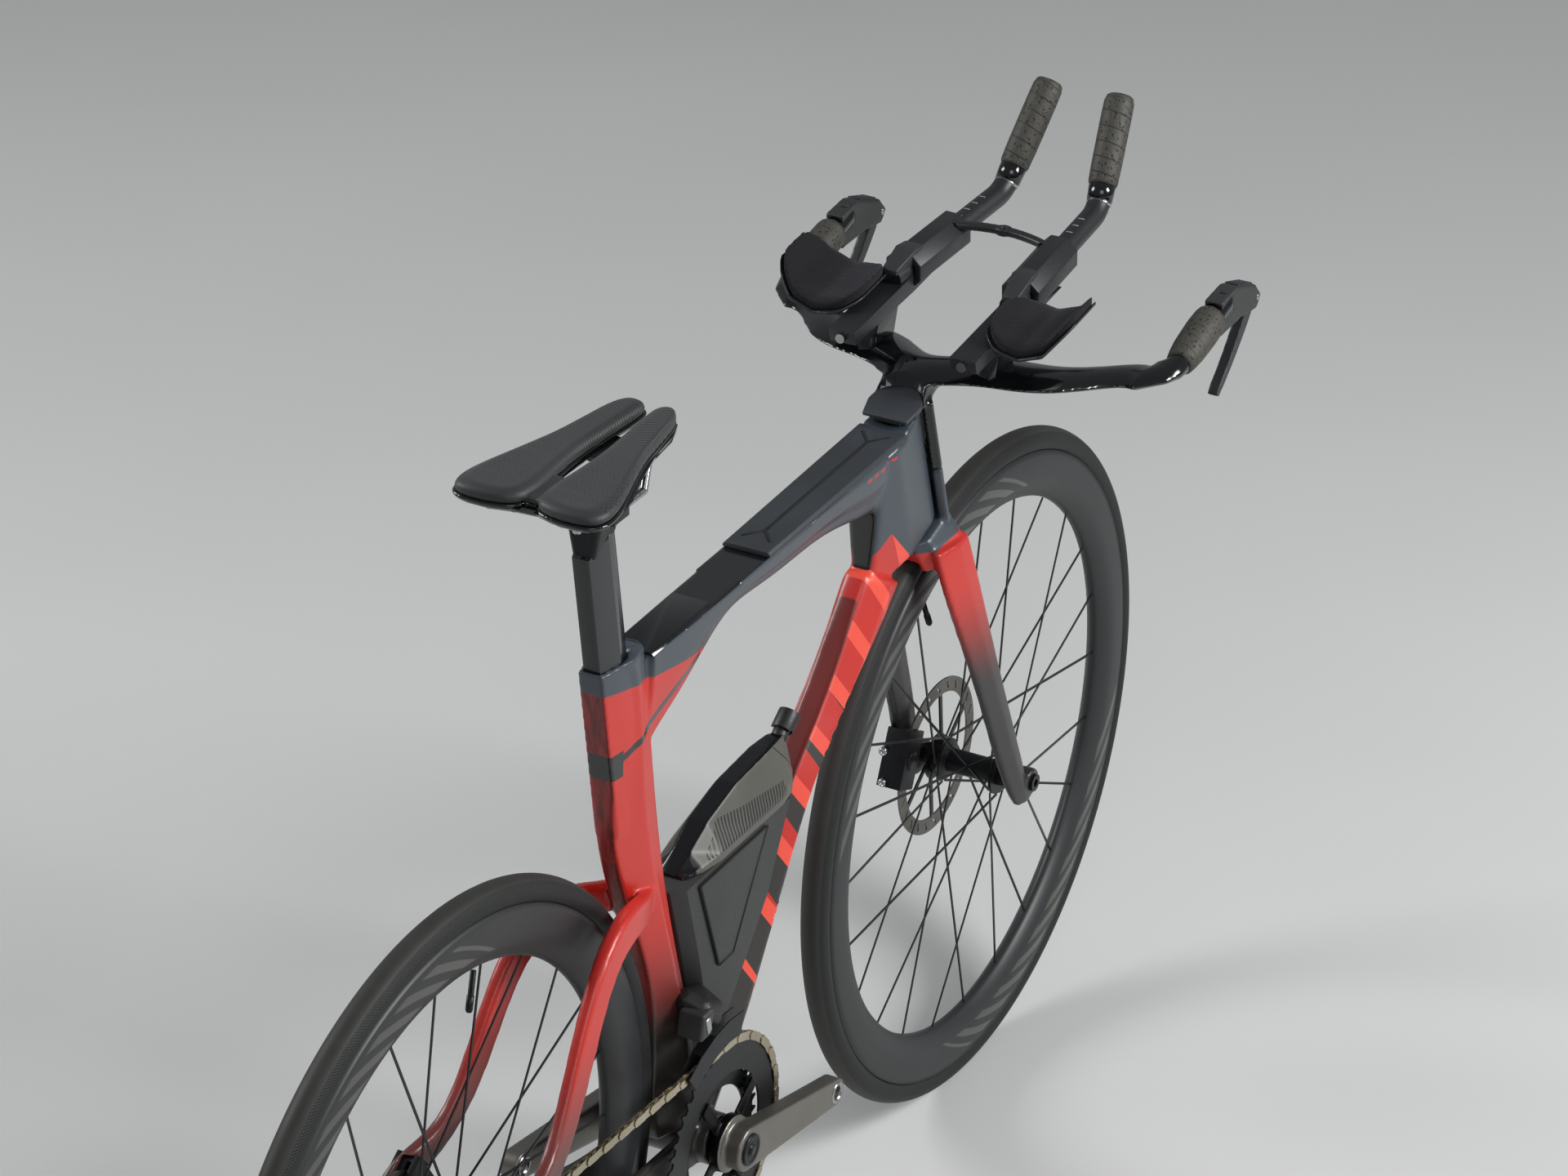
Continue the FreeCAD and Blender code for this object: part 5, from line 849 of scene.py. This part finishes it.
# The arm rests: lacquered posts carry carbon brackets and clamps for two extensions, which a thin
# bridge ties together; moulded cups under plush pads hold the forearms.
# Satin carbon: charcoal, half-dull, with a fine grain in its gloss.
satin_carbon = grained(
    "satin_carbon", "#151618", "#1e2023", 0.0018, (0.38, 0.5), 0.05,
    {"Coat Weight": 0.08, "Coat Roughness": 0.4},
)
# Glass-filled nylon: dark grey moulding with an eroded, dull face.
nylon = grained("glass_filled_nylon", "#242526", "#2f302f", 0.0014, (0.46, 0.6), 0.12)
eased("riser_posts", "risers", "fork", lacquer, "black_lacquer", 0.002)
sleeve_rear = 0.4265
sleeve_length = 0.0925
sleeve_radius = 0.0201
sleeve_bore = 0.0126
beam_top = 0.8625
beam_inner = 0.048
beam_outer = 0.0725
room = 0.06
trim_length = sleeve_length + room
trim_x = sleeve_rear + trim_length / 2
beam_side = beam_outer + room / 2
clamps = copied("extension_brackets", "extension_clamps")
# Width, place across and lift of the boxes that trim the clamps to a beam under each sleeve.
for name, boxes in (
    ("sleeve_trim", ((beam_outer * 4, 0, room / 2),)),
    ("flank_trim", ((beam_inner * 2, 0, 0), (room, beam_side, 0), (room, -beam_side, 0))),
):
    tool = bmesh.new()
    for width, out, up in boxes:
        block(tool, (trim_length, width, room), Matrix.Translation((trim_x, out, beam_top + up)))
    carved(clamps, placed(name, tool))
dressed(softened(clamps, 0.0014, 3), "fork", satin_carbon, "black_satin", "extension_clamps")


def extension_points(hand):
    """Rear end, bend and tip of an extension."""
    places = ((0.404, 0.061, 0.872), (0.611, 0.049, 0.887), (0.679, 0.0366, 0.9765))
    return [Vector((x, hand * out, z)) for x, out, z in places]


sleeve_outline = (
    (0.0, sleeve_bore), (0.0, sleeve_radius), (sleeve_length, sleeve_radius),
    (sleeve_length, sleeve_bore),
)
sleeve_sides = 8
# Length along the sleeve, half width, foot and top of each section of a wedge.
wedge_sections = (
    (-0.026, 0.0075, 0.006, 0.0115), (0.004, 0.0105, 0.006, 0.0205), (0.02, 0.0095, 0.01, 0.0188),
)
sleeves = []
wedges = bmesh.new()
for hand in (1, -1):
    rear, bend, _ = extension_points(hand)
    way = (bend - rear).normalized()
    start = rear + way * (sleeve_rear - rear.x) / way.x
    sleeve = spun(sleeve_outline, start, way, sleeve_sides, True)
    flat_up = Matrix.Rotation(math.pi / sleeve_sides, 3, way)
    bmesh.ops.rotate(sleeve, verts=sleeve.verts, cent=start, matrix=flat_up)
    sleeves.append(sleeve)
    lofted(wedges, [
        [
            start + way * along + Vector((0, out, 0)) + Vector((0, 0, up))
            for out, up in ((-half, foot), (half, foot), (half, rise), (-half, rise))
        ]
        for along, half, foot, rise in wedge_sections
    ])
sleeve_pair = softened(gathered("clamp_sleeves", sleeves), 0.0012, 2)
dressed(sleeve_pair, "fork", satin_carbon, "black_satin")
dressed(softened(placed("clamp_wedges", wedges), 0.0009, 2), "fork", nylon, "black_satin")
cast("bridge", "extension_bridge", "fork", satin_carbon, "black_lacquer", 0.0011, 4)
low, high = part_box("arm_cups")
cup_inner = 0.0615
cup_corner = 0.030
cup_turns = 8
plan_below = 0.02
plan_height = 0.12


def cup_plan(name, grow):
    """Two upright rounded squares that trim the cups and pads to their plan."""
    shape = bmesh.new()
    for hand in (1, -1):
        middle = Vector(((low.x + high.x) / 2, hand * (cup_inner + high.y) / 2, low.z - plan_below))
        half = Vector(((high.x - low.x) / 2 + grow, (high.y - cup_inner) / 2 + grow, 0))
        ring = []
        for quarter, (way_x, way_y) in enumerate(((1, 1), (-1, 1), (-1, -1), (1, -1))):
            corner = Vector((way_x * (half.x - cup_corner), way_y * (half.y - cup_corner), 0))
            for step in range(cup_turns + 1):
                swing = math.pi / 2 * (quarter + step / cup_turns)
                out = Vector((math.cos(swing), math.sin(swing), 0)) * cup_corner
                ring.append(middle + corner + out)
        raised(shape, ring, (0, 0, plan_height))
    return placed(name, shape)


cups = moulded(copied("forearm_cups", "arm_cups"), 0.0011, 8)
carved(cups, cup_plan("cup_tool", 0.0), "INTERSECT")
cups.data.shade_smooth()
dressed(cups, "fork", satin_carbon, "black_satin", "arm_cups")
coat(satin_carbon, "extensions")
coat(bright_steel, "cockpit_bolts")
# Brushed-loop plush over foam: black, with a soft pile that catches light at grazing angles.
plush, shader, coords = surface(
    "loop_plush_on_foam",
    {
        "Sheen Weight": 0.35, "Sheen Roughness": 0.5, "Sheen Tint": linear("#77777f"),
        "Specular IOR Level": 0.2,
    },
)
nap = noise(coords, 520.0, 3.0)
tone = mixed(noise(coords, 30.0, 2.0), "#0a0a0b", "#131315")
tone = mixed(nap, tone, "#1d1d20")
gloss = ranged(nap, to=(0.8, 0.95))
skinned(shader, tone, gloss, bumped(nap, 0.7, 0.0012))
pad_grid = 0.0016
pad_inset = 0.0025
pads = moulded(copied("forearm_pads", "arm_pads"), pad_grid, 10)
moulded(carved(pads, cup_plan("pad_tool", -pad_inset), "INTERSECT"), pad_grid, 9)
dressed(pads, "fork", plush, "pad_foam", "arm_pads")

# The grips: perforated tape wound round the bar ends and the extension tips, each extension
# closed by a plug and finished with a gloss collar and a plated ring.
# Perforated bar tape: olive grey, dull, with an overlap at every turn and small scattered holes.
tape, shader, coords = surface("perforated_bar_tape", {})
speck = noise(coords, 330.0, 3.0)
wound = split((coords, "UV"))
tape_pitch = 0.015
turn = worked("FRACT", worked("MULTIPLY_ADD", wound[1], 1 / tape_pitch, wound[0]))
lap = ranged(turn, (0.0, 0.1))
grip_girth = 0.09
stretch = add("ShaderNodeMapping", {"Vector": (coords, "UV"), "Scale": [grip_girth, 1.0, 0.0]})
pits = add("ShaderNodeTexVoronoi", {"Vector": (stretch, 0), "Scale": 230.0, "Randomness": 0.75})
pits = ranged((pits, 0), (0.38, 0.24))
# Painted shade: the holes are painted near black and the overlap at each turn painted dark, as the
# shade in them.
tone = mixed(pits, mixed(speck, "#2c2b27", "#47453d"), "#161614")
tone = mixed(lap, "#151513", tone)
height = worked("ADD", worked("SUBTRACT", speck, pits), lap)
gloss = ranged(speck, to=(0.5, 0.7))
skinned(shader, tone, gloss, bumped(height, 0.6, 0.0008))


def wound_uv(shape, start, way):
    """Lays the tape's UV: the share of a turn, and metres along the axis."""
    layer = shape.loops.layers.uv.new("tape")
    way = Vector(way).normalized()
    across = way.orthogonal().normalized()
    beside = way.cross(across)
    for face in shape.faces:
        shares = []
        for loop in face.loops:
            out = loop.vert.co - Vector(start)
            shares.append((math.atan2(out.dot(beside), out.dot(across)) / math.tau) % 1)
        for loop, share in zip(face.loops, shares):
            wrapped = share + 1 if max(shares) - share > 0.5 else share
            loop[layer].uv = (wrapped, (loop.vert.co - Vector(start)).dot(way))
    return shape


bar_grip_profile = (
    (0.002, 0.0105), (0.003, 0.0130), (0.010, 0.0143), (0.023, 0.0157), (0.040, 0.0163),
    (0.055, 0.0165), (0.068, 0.0158), (0.0725, 0.0150), (0.0745, 0.0105),
)
tip_grip_profile = (
    (0.0, 0.0108), (0.0006, 0.0132), (0.003, 0.0140), (0.02, 0.0145), (0.07, 0.0146),
    (0.082, 0.0143), (0.0870, 0.0128), (0.0885, 0.0108), (0.0885, 0.0085), (0.0893, 0.0070),
    (0.0893, 0.0),
)
collar_profile = ((-0.015, 0.0112), (-0.0145, 0.0122), (0.0, 0.0128), (0.001, 0.0112))
ring_profile = ((-0.0185, 0.0111), (-0.0182, 0.0119), (-0.0153, 0.0119), (-0.015, 0.0111))
tick_shares = (0.60, 0.67, 0.74, 0.81)
tick_size = (0.0009, 0.006, 0.0005)
tip_length = 0.088
extension_radius = 0.0111
bar_end_out = 0.197
grips = []
collars = []
rings = []
ticks = bmesh.new()
for hand in (1, -1):
    bar_start = Vector((0.478, bar_end_out * hand, 0.817))
    bar_way = Vector((0.078, 0, 0.021))
    grips.append(wound_uv(spun(bar_grip_profile, bar_start, bar_way, 48), bar_start, bar_way))
    first, bend, last = extension_points(hand)
    tip_way = (last - bend).normalized()
    tip_start = last - tip_way * tip_length
    grips.append(wound_uv(spun(tip_grip_profile, tip_start, tip_way, 48), tip_start, tip_way))
    collars.append(spun(collar_profile, tip_start, tip_way, 40))
    rings.append(spun(ring_profile, tip_start, tip_way, 40))
    along = (bend - first).normalized()
    lift = Vector((-along.z, 0, along.x)) * extension_radius
    turn = along.to_track_quat("X", "Z").to_matrix().to_4x4()
    for share in tick_shares:
        block(ticks, tick_size, Matrix.Translation(first.lerp(bend, share) + lift) @ turn)
dressed(gathered("wound_grips", grips), "fork", tape, "grip_wrap", "grip_tape")
dressed(gathered("grip_collars", collars), "fork", lacquer, "black_lacquer")
dressed(gathered("grip_rings", rings), "fork", bright_steel, "bright_steel")
# Printed length marks: pale grey ink, slightly worn.
ink = grained("pale_grey_ink", "#8c8c88", "#a8a8a4", 0.002, (0.5, 0.7), 0.05)
dressed(placed("length_marks", ticks), "fork", ink, "black_satin")

# The brake levers: moulded bodies clamped in the bar ends, each with a flat top plate, a pivot
# pin and a bladed lever.
cast("lever_housings", "lever_bodies", "fork", nylon, "dark_grey_plastic", 0.0013, 9)
lever_pins = []
plates = bmesh.new()
plate_ends = (0.592, 0.624)
plate_width = 0.0145
plate_height = 0.0034
hood_tops = bmesh.new()
hood_tops.from_mesh(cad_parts["lever_bodies"].data)
hood_tree = BVHTree.FromBMesh(hood_tops)
hood_tops.free()


def on_hood(x, y):
    """The point of a hood's upper face under a place."""
    return hood_tree.ray_cast(Vector((x, y, 1.0)), Vector((0, 0, -1)))[0]


lever_bow = 0.006
pin_spot = Vector((0.6352, 0, 0.8265))
pin_profile = (
    (-0.0098, 0.0), (-0.0098, 0.0030), (-0.0094, 0.0034), (0.0094, 0.0034), (0.0098, 0.0030),
    (0.0098, 0.0),
)
for name, hand in (("left", 1), ("right", -1)):
    out = Vector((0, bar_end_out * hand, 0))
    lever = moulded(copied("lever_blade_" + name, "brake_lever_" + name), 0.0010, 5)
    low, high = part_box("brake_lever_" + name)
    for vertex in lever.data.vertices:
        share = (high.z - vertex.co.z) / (high.z - low.z)
        vertex.co.x += lever_bow * 4 * share * (1 - share)
    dressed(lever, "lever_" + name, satin_carbon, "black_satin", "brake_lever_" + name)
    lever_pins.append(spun(pin_profile, pin_spot + out, (0, 1, 0), 24))
    rear, front = [on_hood(x, out.y) for x in plate_ends]
    bar(plates, rear, front, plate_width, plate_height)
dressed(gathered("lever_pins", lever_pins), "fork", bright_steel, "bright_steel")
dressed(softened(placed("lever_plates", plates), 0.0008, 2), "fork", satin_carbon, "black_satin")

# The wheels: black round tyres on deep satin carbon rims, bladed steel spokes laced to small
# alloy hubs, with a brake disc on the left and a valve in each rim.
axle_height = 0.338
tyre_radius = 0.338
tyre_section = 0.0135
tyre_seat = 0.3165
tread_turns = 24
seat_turn = math.acos((tyre_seat - tyre_radius + tyre_section) / tyre_section)
tyre_outline = []
for step in range(tread_turns + 1):
    swing = seat_turn * (2 * step / tread_turns - 1)
    rise = tyre_radius - tyre_section + tyre_section * math.cos(swing)
    tyre_outline.append((tyre_section * math.sin(swing), rise))
rim_half = (
    (0.0120, 0.3165), (0.0131, 0.3110), (0.0138, 0.3030), (0.0140, 0.2930), (0.0137, 0.2885),
    (0.0128, 0.2840), (0.0115, 0.2805), (0.0096, 0.2770), (0.0072, 0.2735), (0.0050, 0.2712),
    (0.0025, 0.2692),
)
rim_outline = list(rim_half) + [(-out, radius) for out, radius in reversed(rim_half)]
valve_profile = (
    (0.265, 0.0), (0.265, 0.0026), (0.243, 0.0026), (0.243, 0.0032), (0.231, 0.0032),
    (0.229, 0.0024), (0.229, 0.0),
)


def wheel_space(coords, x):
    """Radius from a wheel's axle, and the angle round it."""
    sockets = {"Vector": (coords, "Object"), "Location": [-x, 0, -axle_height]}
    parts = split((add("ShaderNodeMapping", sockets), 0))
    flat = add("ShaderNodeCombineXYZ", {0: parts[0], 2: parts[2]})
    radius = add("ShaderNodeVectorMath", {0: (flat, 0)}, operation="LENGTH")
    return (radius, "Value"), worked("ARCTAN2", parts[2], parts[0])


across = (0, 1, 0)
hoop_steps = 216
rim_bar_spacing = 1 / 7
rim_bar_share = 0.5
track_edge = 0.0005
for end, x, valve_turn, track_radius in (
    ("front", 0.49, 2.05, 0.0635),
    ("rear", -0.49, 1.35, 0.0535),
):
    body = end + "_wheel"
    axle = (x, 0, axle_height)
    # Black tyre rubber: a smooth worn crown, a fine filed texture on the shoulders, darker sides.
    rubber, shader, coords = surface(end + "_tyre_rubber", {"Specular IOR Level": 0.35})
    radius, angle = wheel_space(coords, x)
    dust = noise(coords, 45.0, 5.0)
    side_rubber = mixed(dust, "#101112", "#1d1e1f")
    worn = mixed(dust, "#252523", "#33322f")
    tone = mixed(ranged(radius, (0.3335, 0.3345)), side_rubber, worn)
    shoulder = both(ranged(radius, (0.326, 0.328)), ranged(radius, (0.3345, 0.3335)))
    cut = both(waves(angle, 700.0), waves(radius, 2600.0), shoulder)
    gloss = ranged(dust, to=(0.5, 0.68))
    skinned(shader, tone, gloss, bumped(cut, 0.35, 0.0006))
    tyre = placed(end + "_tyre_casing", spun(tyre_outline, axle, across, hoop_steps, True))
    dressed(tyre, body, rubber, "tyre_rubber", end + "_tyre")
    # Satin carbon rim: near black, dull, with groups of slanted gloss bars on each side.
    rim_carbon, shader, coords = surface(end + "_rim_carbon", {})
    radius, angle = wheel_space(coords, x)
    lean = worked("MULTIPLY_ADD", radius, -9.0, angle)
    group = worked("SINE", worked("MULTIPLY_ADD", lean, 2.0, 2.6))
    lane = both(worked("GREATER_THAN", radius, 0.285), worked("LESS_THAN", radius, 0.308))
    bars = stripes(lean, rim_bar_spacing, rim_bar_share)
    bars = both(bars, worked("GREATER_THAN", group, 0.1), lane)
    tone = mixed(bars, mixed(noise(coords, 8.0, 3.0), "#18191a", "#242527"), "#42433f")
    weave = bumped(noise(coords, 300.0, 2.0), 0.05, 0.0005)
    skinned(shader, tone, ranged(bars, to=(0.46, 0.28)), weave)
    rim = placed(end + "_rim_hoop", spun(rim_outline, axle, across, hoop_steps, True))
    dressed(rim, body, rim_carbon, "black_satin", end + "_rim")
    valve_way = (math.cos(valve_turn), 0, math.sin(valve_turn))
    valve = placed(end + "_valve", spun(valve_profile, axle, valve_way, 16))
    dressed(valve, body, dark_alloy, "black_satin")
    # Stainless disc track, ground in circles, on a black anodised carrier.
    disc, shader, coords = surface(end + "_brake_disc", {})
    radius, _ = wheel_space(coords, x)
    track = ranged(radius, (track_radius, track_radius + track_edge))
    tint = noise(coords, 60.0, 4.0)
    tone = mixed(track, "#141517", mixed(tint, "#56544f", "#85827b"))
    scratch = bumped(waves(radius, 4200.0), 0.08, 0.0003)
    skinned(shader, tone, ranged(tint, to=(0.26, 0.4)), scratch)
    join(shader, {"Metallic": ranged(track, to=(0.4, 1.0))})
    coat(disc, end + "_rotor")
# Black-coated steel: dark, half-gloss.
black_steel = grained(
    "black_coated_steel", "#101113", "#1b1c1e", 0.0015, (0.3, 0.42), 0.03, {"Metallic": 0.5}
)
coat(black_steel, "front_spokes", "rear_spokes")
coat(dark_alloy, "front_hub", "rear_hub", "front_axle", "rear_axle", "frame_bearings")

# The brake calipers: forged bodies over the discs, each with a round piston cover on the side that
# faces the wheel and two bolts from behind.
cover_profile = ((0.0, 0.0), (0.0, 0.0085), (0.0012, 0.0098), (0.006, 0.0098), (0.006, 0.0))
cover_stand = 0.0018
bolt_stand = 0.0015
bolt_inset = 0.0062
bolt_rise = 0.017
bolt_radius = 0.0042
bolt_length = 0.008
for end, body in (("front", "fork"), ("rear", "frame")):
    eased(end + "_brake", end + "_caliper", body, dark_alloy, "grey_metal", 0.0022)
    low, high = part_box(end + "_caliper")
    middle = (low + high) / 2
    lid_spot = (middle.x, low.y - cover_stand, middle.z)
    piston_cover = placed(end + "_piston_cover", spun(cover_profile, lid_spot, across, 32))
    dressed(piston_cover, body, dark_alloy, "grey_metal")
    caliper_bolts = []
    for lift in (-bolt_rise, bolt_rise):
        head = (low.x - bolt_stand, high.y - bolt_inset, middle.z + lift)
        caliper_bolts.append(bolt(head, (1, 0, 0), bolt_radius, bolt_length))
    dressed(gathered(end + "_caliper_bolts", caliper_bolts), body, bright_steel, "bright_steel")

# The storage box and the bottle: a dark moulded box with a hinged door fills the corner of the
# frame, and a flat bottle with a ribbed side and a push spout lies on top of it.
eased("tool_box", "storage_box", "frame", nylon, "dark_grey_plastic", 0.004)
eased("box_door", "storage_door", "door", nylon, "dark_grey_plastic", 0.0008, 2)
# A thin dark strip round the door: painted shadow in the seam between door and box.
outline = solids("storage_door")
bmesh.ops.dissolve_limit(outline, angle_limit=0.02, verts=outline.verts, edges=outline.edges)
outer = [face for face in outline.faces if face.normal.y < -0.9]
face = max(outer, key=lambda face: face.calc_area())
gap_shadow_width = 0.0022
gap_shadow_height = 0.0007
door_gap_shadow = bmesh.new()
corners = [vertex.co.copy() for vertex in face.verts]
for here, there in zip(corners, corners[1:] + corners[:1]):
    bar(door_gap_shadow, here, there, gap_shadow_height, gap_shadow_width)
outline.free()
dressed(placed("door_seam_shadow", door_gap_shadow), "door", gap_black, "soft_rubber")
# Soft black elastomer: dull, with a smooth moulded face.
elastomer = grained("black_elastomer", "#0c0c0d", "#151516", 0.0015, (0.4, 0.54), 0.05)
# Blow-moulded polyethylene: olive grey, waxy; gloss black along the ridge, a ribbed side panel.
bottle_skin, shader, coords = surface("blow_moulded_polyethylene", {})
flank = ranged(worked("ABSOLUTE", split((coords, "Normal"))[1]), (0.5, 0.62))
flank = both(flank, side(coords, [-1, 0, 0.3], (-0.095, 0, 0.52), 0.0006))
panel_edge = 0.0005
panel = zone(
    coords,
    above(0.5265), ([0.09, 0, 1], (-0.046, 0, 0.5495)),
    ([-0.75, 0, 1], (-0.080, 0, 0.5262)), ([1, 0, 0.2], (0.060, 0, 0.528)),
    soft=panel_edge,
)
rib_spacing = 0.0046
rib_share = 0.5
rib = stripes(measured((coords, "Object"), [1.0, 0, -0.35]), rib_spacing, rib_share)
seam_half = 0.0007
seam_edge = 0.0003
seam_way = [0.746, 0, 0.666]
seam = zone(
    coords,
    (seam_way, (0.0714 + seam_half, 0, 0.5552)),
    ([-part for part in seam_way], (0.0714 - seam_half, 0, 0.5552)),
    soft=seam_edge,
)
lines = worked("MAXIMUM", both(rib, panel, flank), seam)
grey = mixed(noise(coords, 12.0, 3.0), "#45453f", "#565650")
tone = mixed(lines, mixed(flank, "#0a0a0b", grey), "#121211")
gloss = ranged(flank, to=(0.16, 0.44))
skinned(shader, tone, gloss, bumped(lines, 0.6, 0.0008, True))
low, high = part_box("bottle")
bottle_half = 0.026
bottle_height = 0.052
bottle_length = 0.198
ridge_share = 0.36
# Share of the length, of the half width, and heights of the shoulder and the ridge.
bottle_shares = (
    (0.0, 0.5, 0.03, 0.06), (0.1, 0.85, 0.1, 0.33), (0.24, 1.0, 0.15, 0.64), (0.5, 1.0, 0.2, 0.9),
    (0.8, 1.0, 0.24, 0.98), (0.93, 0.8, 0.26, 0.98), (1.0, 0.5, 0.3, 0.94),
)
rings = []
for along, width, shoulder, ridge in bottle_shares:
    half = bottle_half * width
    outs = (-half, half, half, half * ridge_share, -half * ridge_share, -half)
    heights = (0.0, 0.0, shoulder, ridge, ridge, shoulder)
    x = low.x + bottle_length * along
    rings.append([(x, out, low.z + bottle_height * height) for out, height in zip(outs, heights)])
flask_shape = bmesh.new()
lofted(flask_shape, rings)
flask = moulded(placed("flask", flask_shape), 0.0012, 14)
neck_profile = ((-0.02, 0.0), (-0.02, 0.0075), (0.014, 0.0075), (0.014, 0.0))
neck_spot = (0.090, 0, 0.5651)
neck_way = (0.7071, 0, 0.7071)
neck = placed("bottle_neck", spun(neck_profile, neck_spot, neck_way, 32))
dressed(neck, "bottle", elastomer, "bottle_plastic")
dressed(flask, "bottle", bottle_skin, "bottle_plastic", "bottle")
eased("push_spout", "bottle_spout", "spout", elastomer, "black_satin", 0.0014)

# The drive: forged arms on a hollow spindle, two dark chainrings, a plated chain and a steel
# cassette; steel bushes line the pedal threads and a cap closes the spindle.
# Bead-blasted forged aluminium on the arms; dark hard anodising on the rings.
arm_alloy, shader, coords = surface("forged_aluminium_arm", {"Metallic": 0.85})
blast = noise(coords, 900.0, 2.0)
out = worked("ABSOLUTE", split((coords, "Object"))[1])
pale = mixed(noise(coords, 24.0, 3.0), "#6f6d67", "#85827b")
tone = mixed(ranged(out, (0.0568, 0.0560)), pale, "#161617")
gloss = ranged(blast, to=(0.34, 0.46))
skinned(shader, tone, gloss, bumped(blast, 0.06, 0.0004))
for hand in ("right", "left"):
    cast(hand + "_arm", "crank_arm_" + hand, "crank", arm_alloy, "grey_metal", 0.0014, 8)
bracket = Vector((-0.093, 0, 0.254))
crank_length = 0.170
crank_dip = math.radians(11.6)
pedal_run = Vector((math.cos(crank_dip), 0, -math.sin(crank_dip))) * crank_length
bush_profile = ((0.0572, 0.0074), (0.0572, 0.0105), (0.0754, 0.0105), (0.0754, 0.0074))
bushes = [
    spun(bush_profile, bracket + pedal_run * -hand, (0, hand, 0), 32, True) for hand in (-1, 1)
]
dressed(gathered("pedal_bushes", bushes), "crank", bright_steel, "bright_steel")
cap_profile = (
    (0.0778, 0.0), (0.0778, 0.0050), (0.0764, 0.0052), (0.0764, 0.0110), (0.0772, 0.0122),
    (0.0768, 0.0150), (0.0735, 0.0152), (0.0735, 0.0),
)
spindle_caps = [spun(cap_profile, bracket, (0, hand, 0), 40) for hand in (-1, 1)]
dressed(gathered("spindle_caps", spindle_caps), "crank", dark_alloy, "black_satin")
coat(dark_alloy, "chainring_outer", "chainring_inner")
# Nickel-plated chain steel: pale gold-grey with bright edges.
plated = grained(
    "nickel_plated_steel", "#9c937c", "#c4bba4", 0.003, (0.22, 0.36), 0.04, {"Metallic": 1.0}
)
coat(plated, "chain")
coat(bright_steel, "cassette")

# The shifting gear: a dark moulded motor body over the rings with a battery and its latch, an
# alloy cage, and a rear mechanism whose sprung cage carries two toothed pulleys.
# Places and radii of the round corners of the motor and of the battery behind it.
motor_corners = (
    ((-0.121, -0.025, 0.408), 0.0115), ((-0.103, -0.025, 0.404), 0.0105),
    ((-0.120, -0.040, 0.403), 0.0105), ((-0.103, -0.041, 0.396), 0.0095),
    ((-0.116, -0.022, 0.389), 0.0085), ((-0.106, -0.043, 0.388), 0.0075),
)
battery_low = 0.386
battery_lean = 0.24
battery_round = 0.0032
battery_corners = tuple(
    ((x + lift * battery_lean, y, battery_low + lift), battery_round)
    for x in (-0.139, -0.126)
    for y in (-0.0485, -0.0285)
    for lift in (0.0, 0.019)
)
motor = moulded(hulled("front_shift_motor", motor_corners), 0.0011, 4)
dressed(motor, "frame", elastomer, "grey_metal", "front_derailleur_body")
battery = moulded(hulled("shift_battery", battery_corners), 0.0008, 2)
dressed(battery, "frame", nylon, "grey_metal")
latch = bmesh.new()
latch_size = (0.007, 0.0022, 0.016)
latch_spot = Matrix.Translation((-0.130, -0.0518, 0.396))
block(latch, latch_size, latch_spot @ Matrix.Rotation(math.radians(-14), 4, "Y"))
dressed(softened(placed("battery_latch", latch), 0.0009, 2), "frame", bright_steel, "bright_steel")
eased("rear_shift_motor", "rear_derailleur_body", "rear_derailleur", nylon, "grey_metal", 0.003)
coat(dark_alloy, "derailleur_cage", "guide_pulley", "tension_pulley", "front_derailleur_cage")
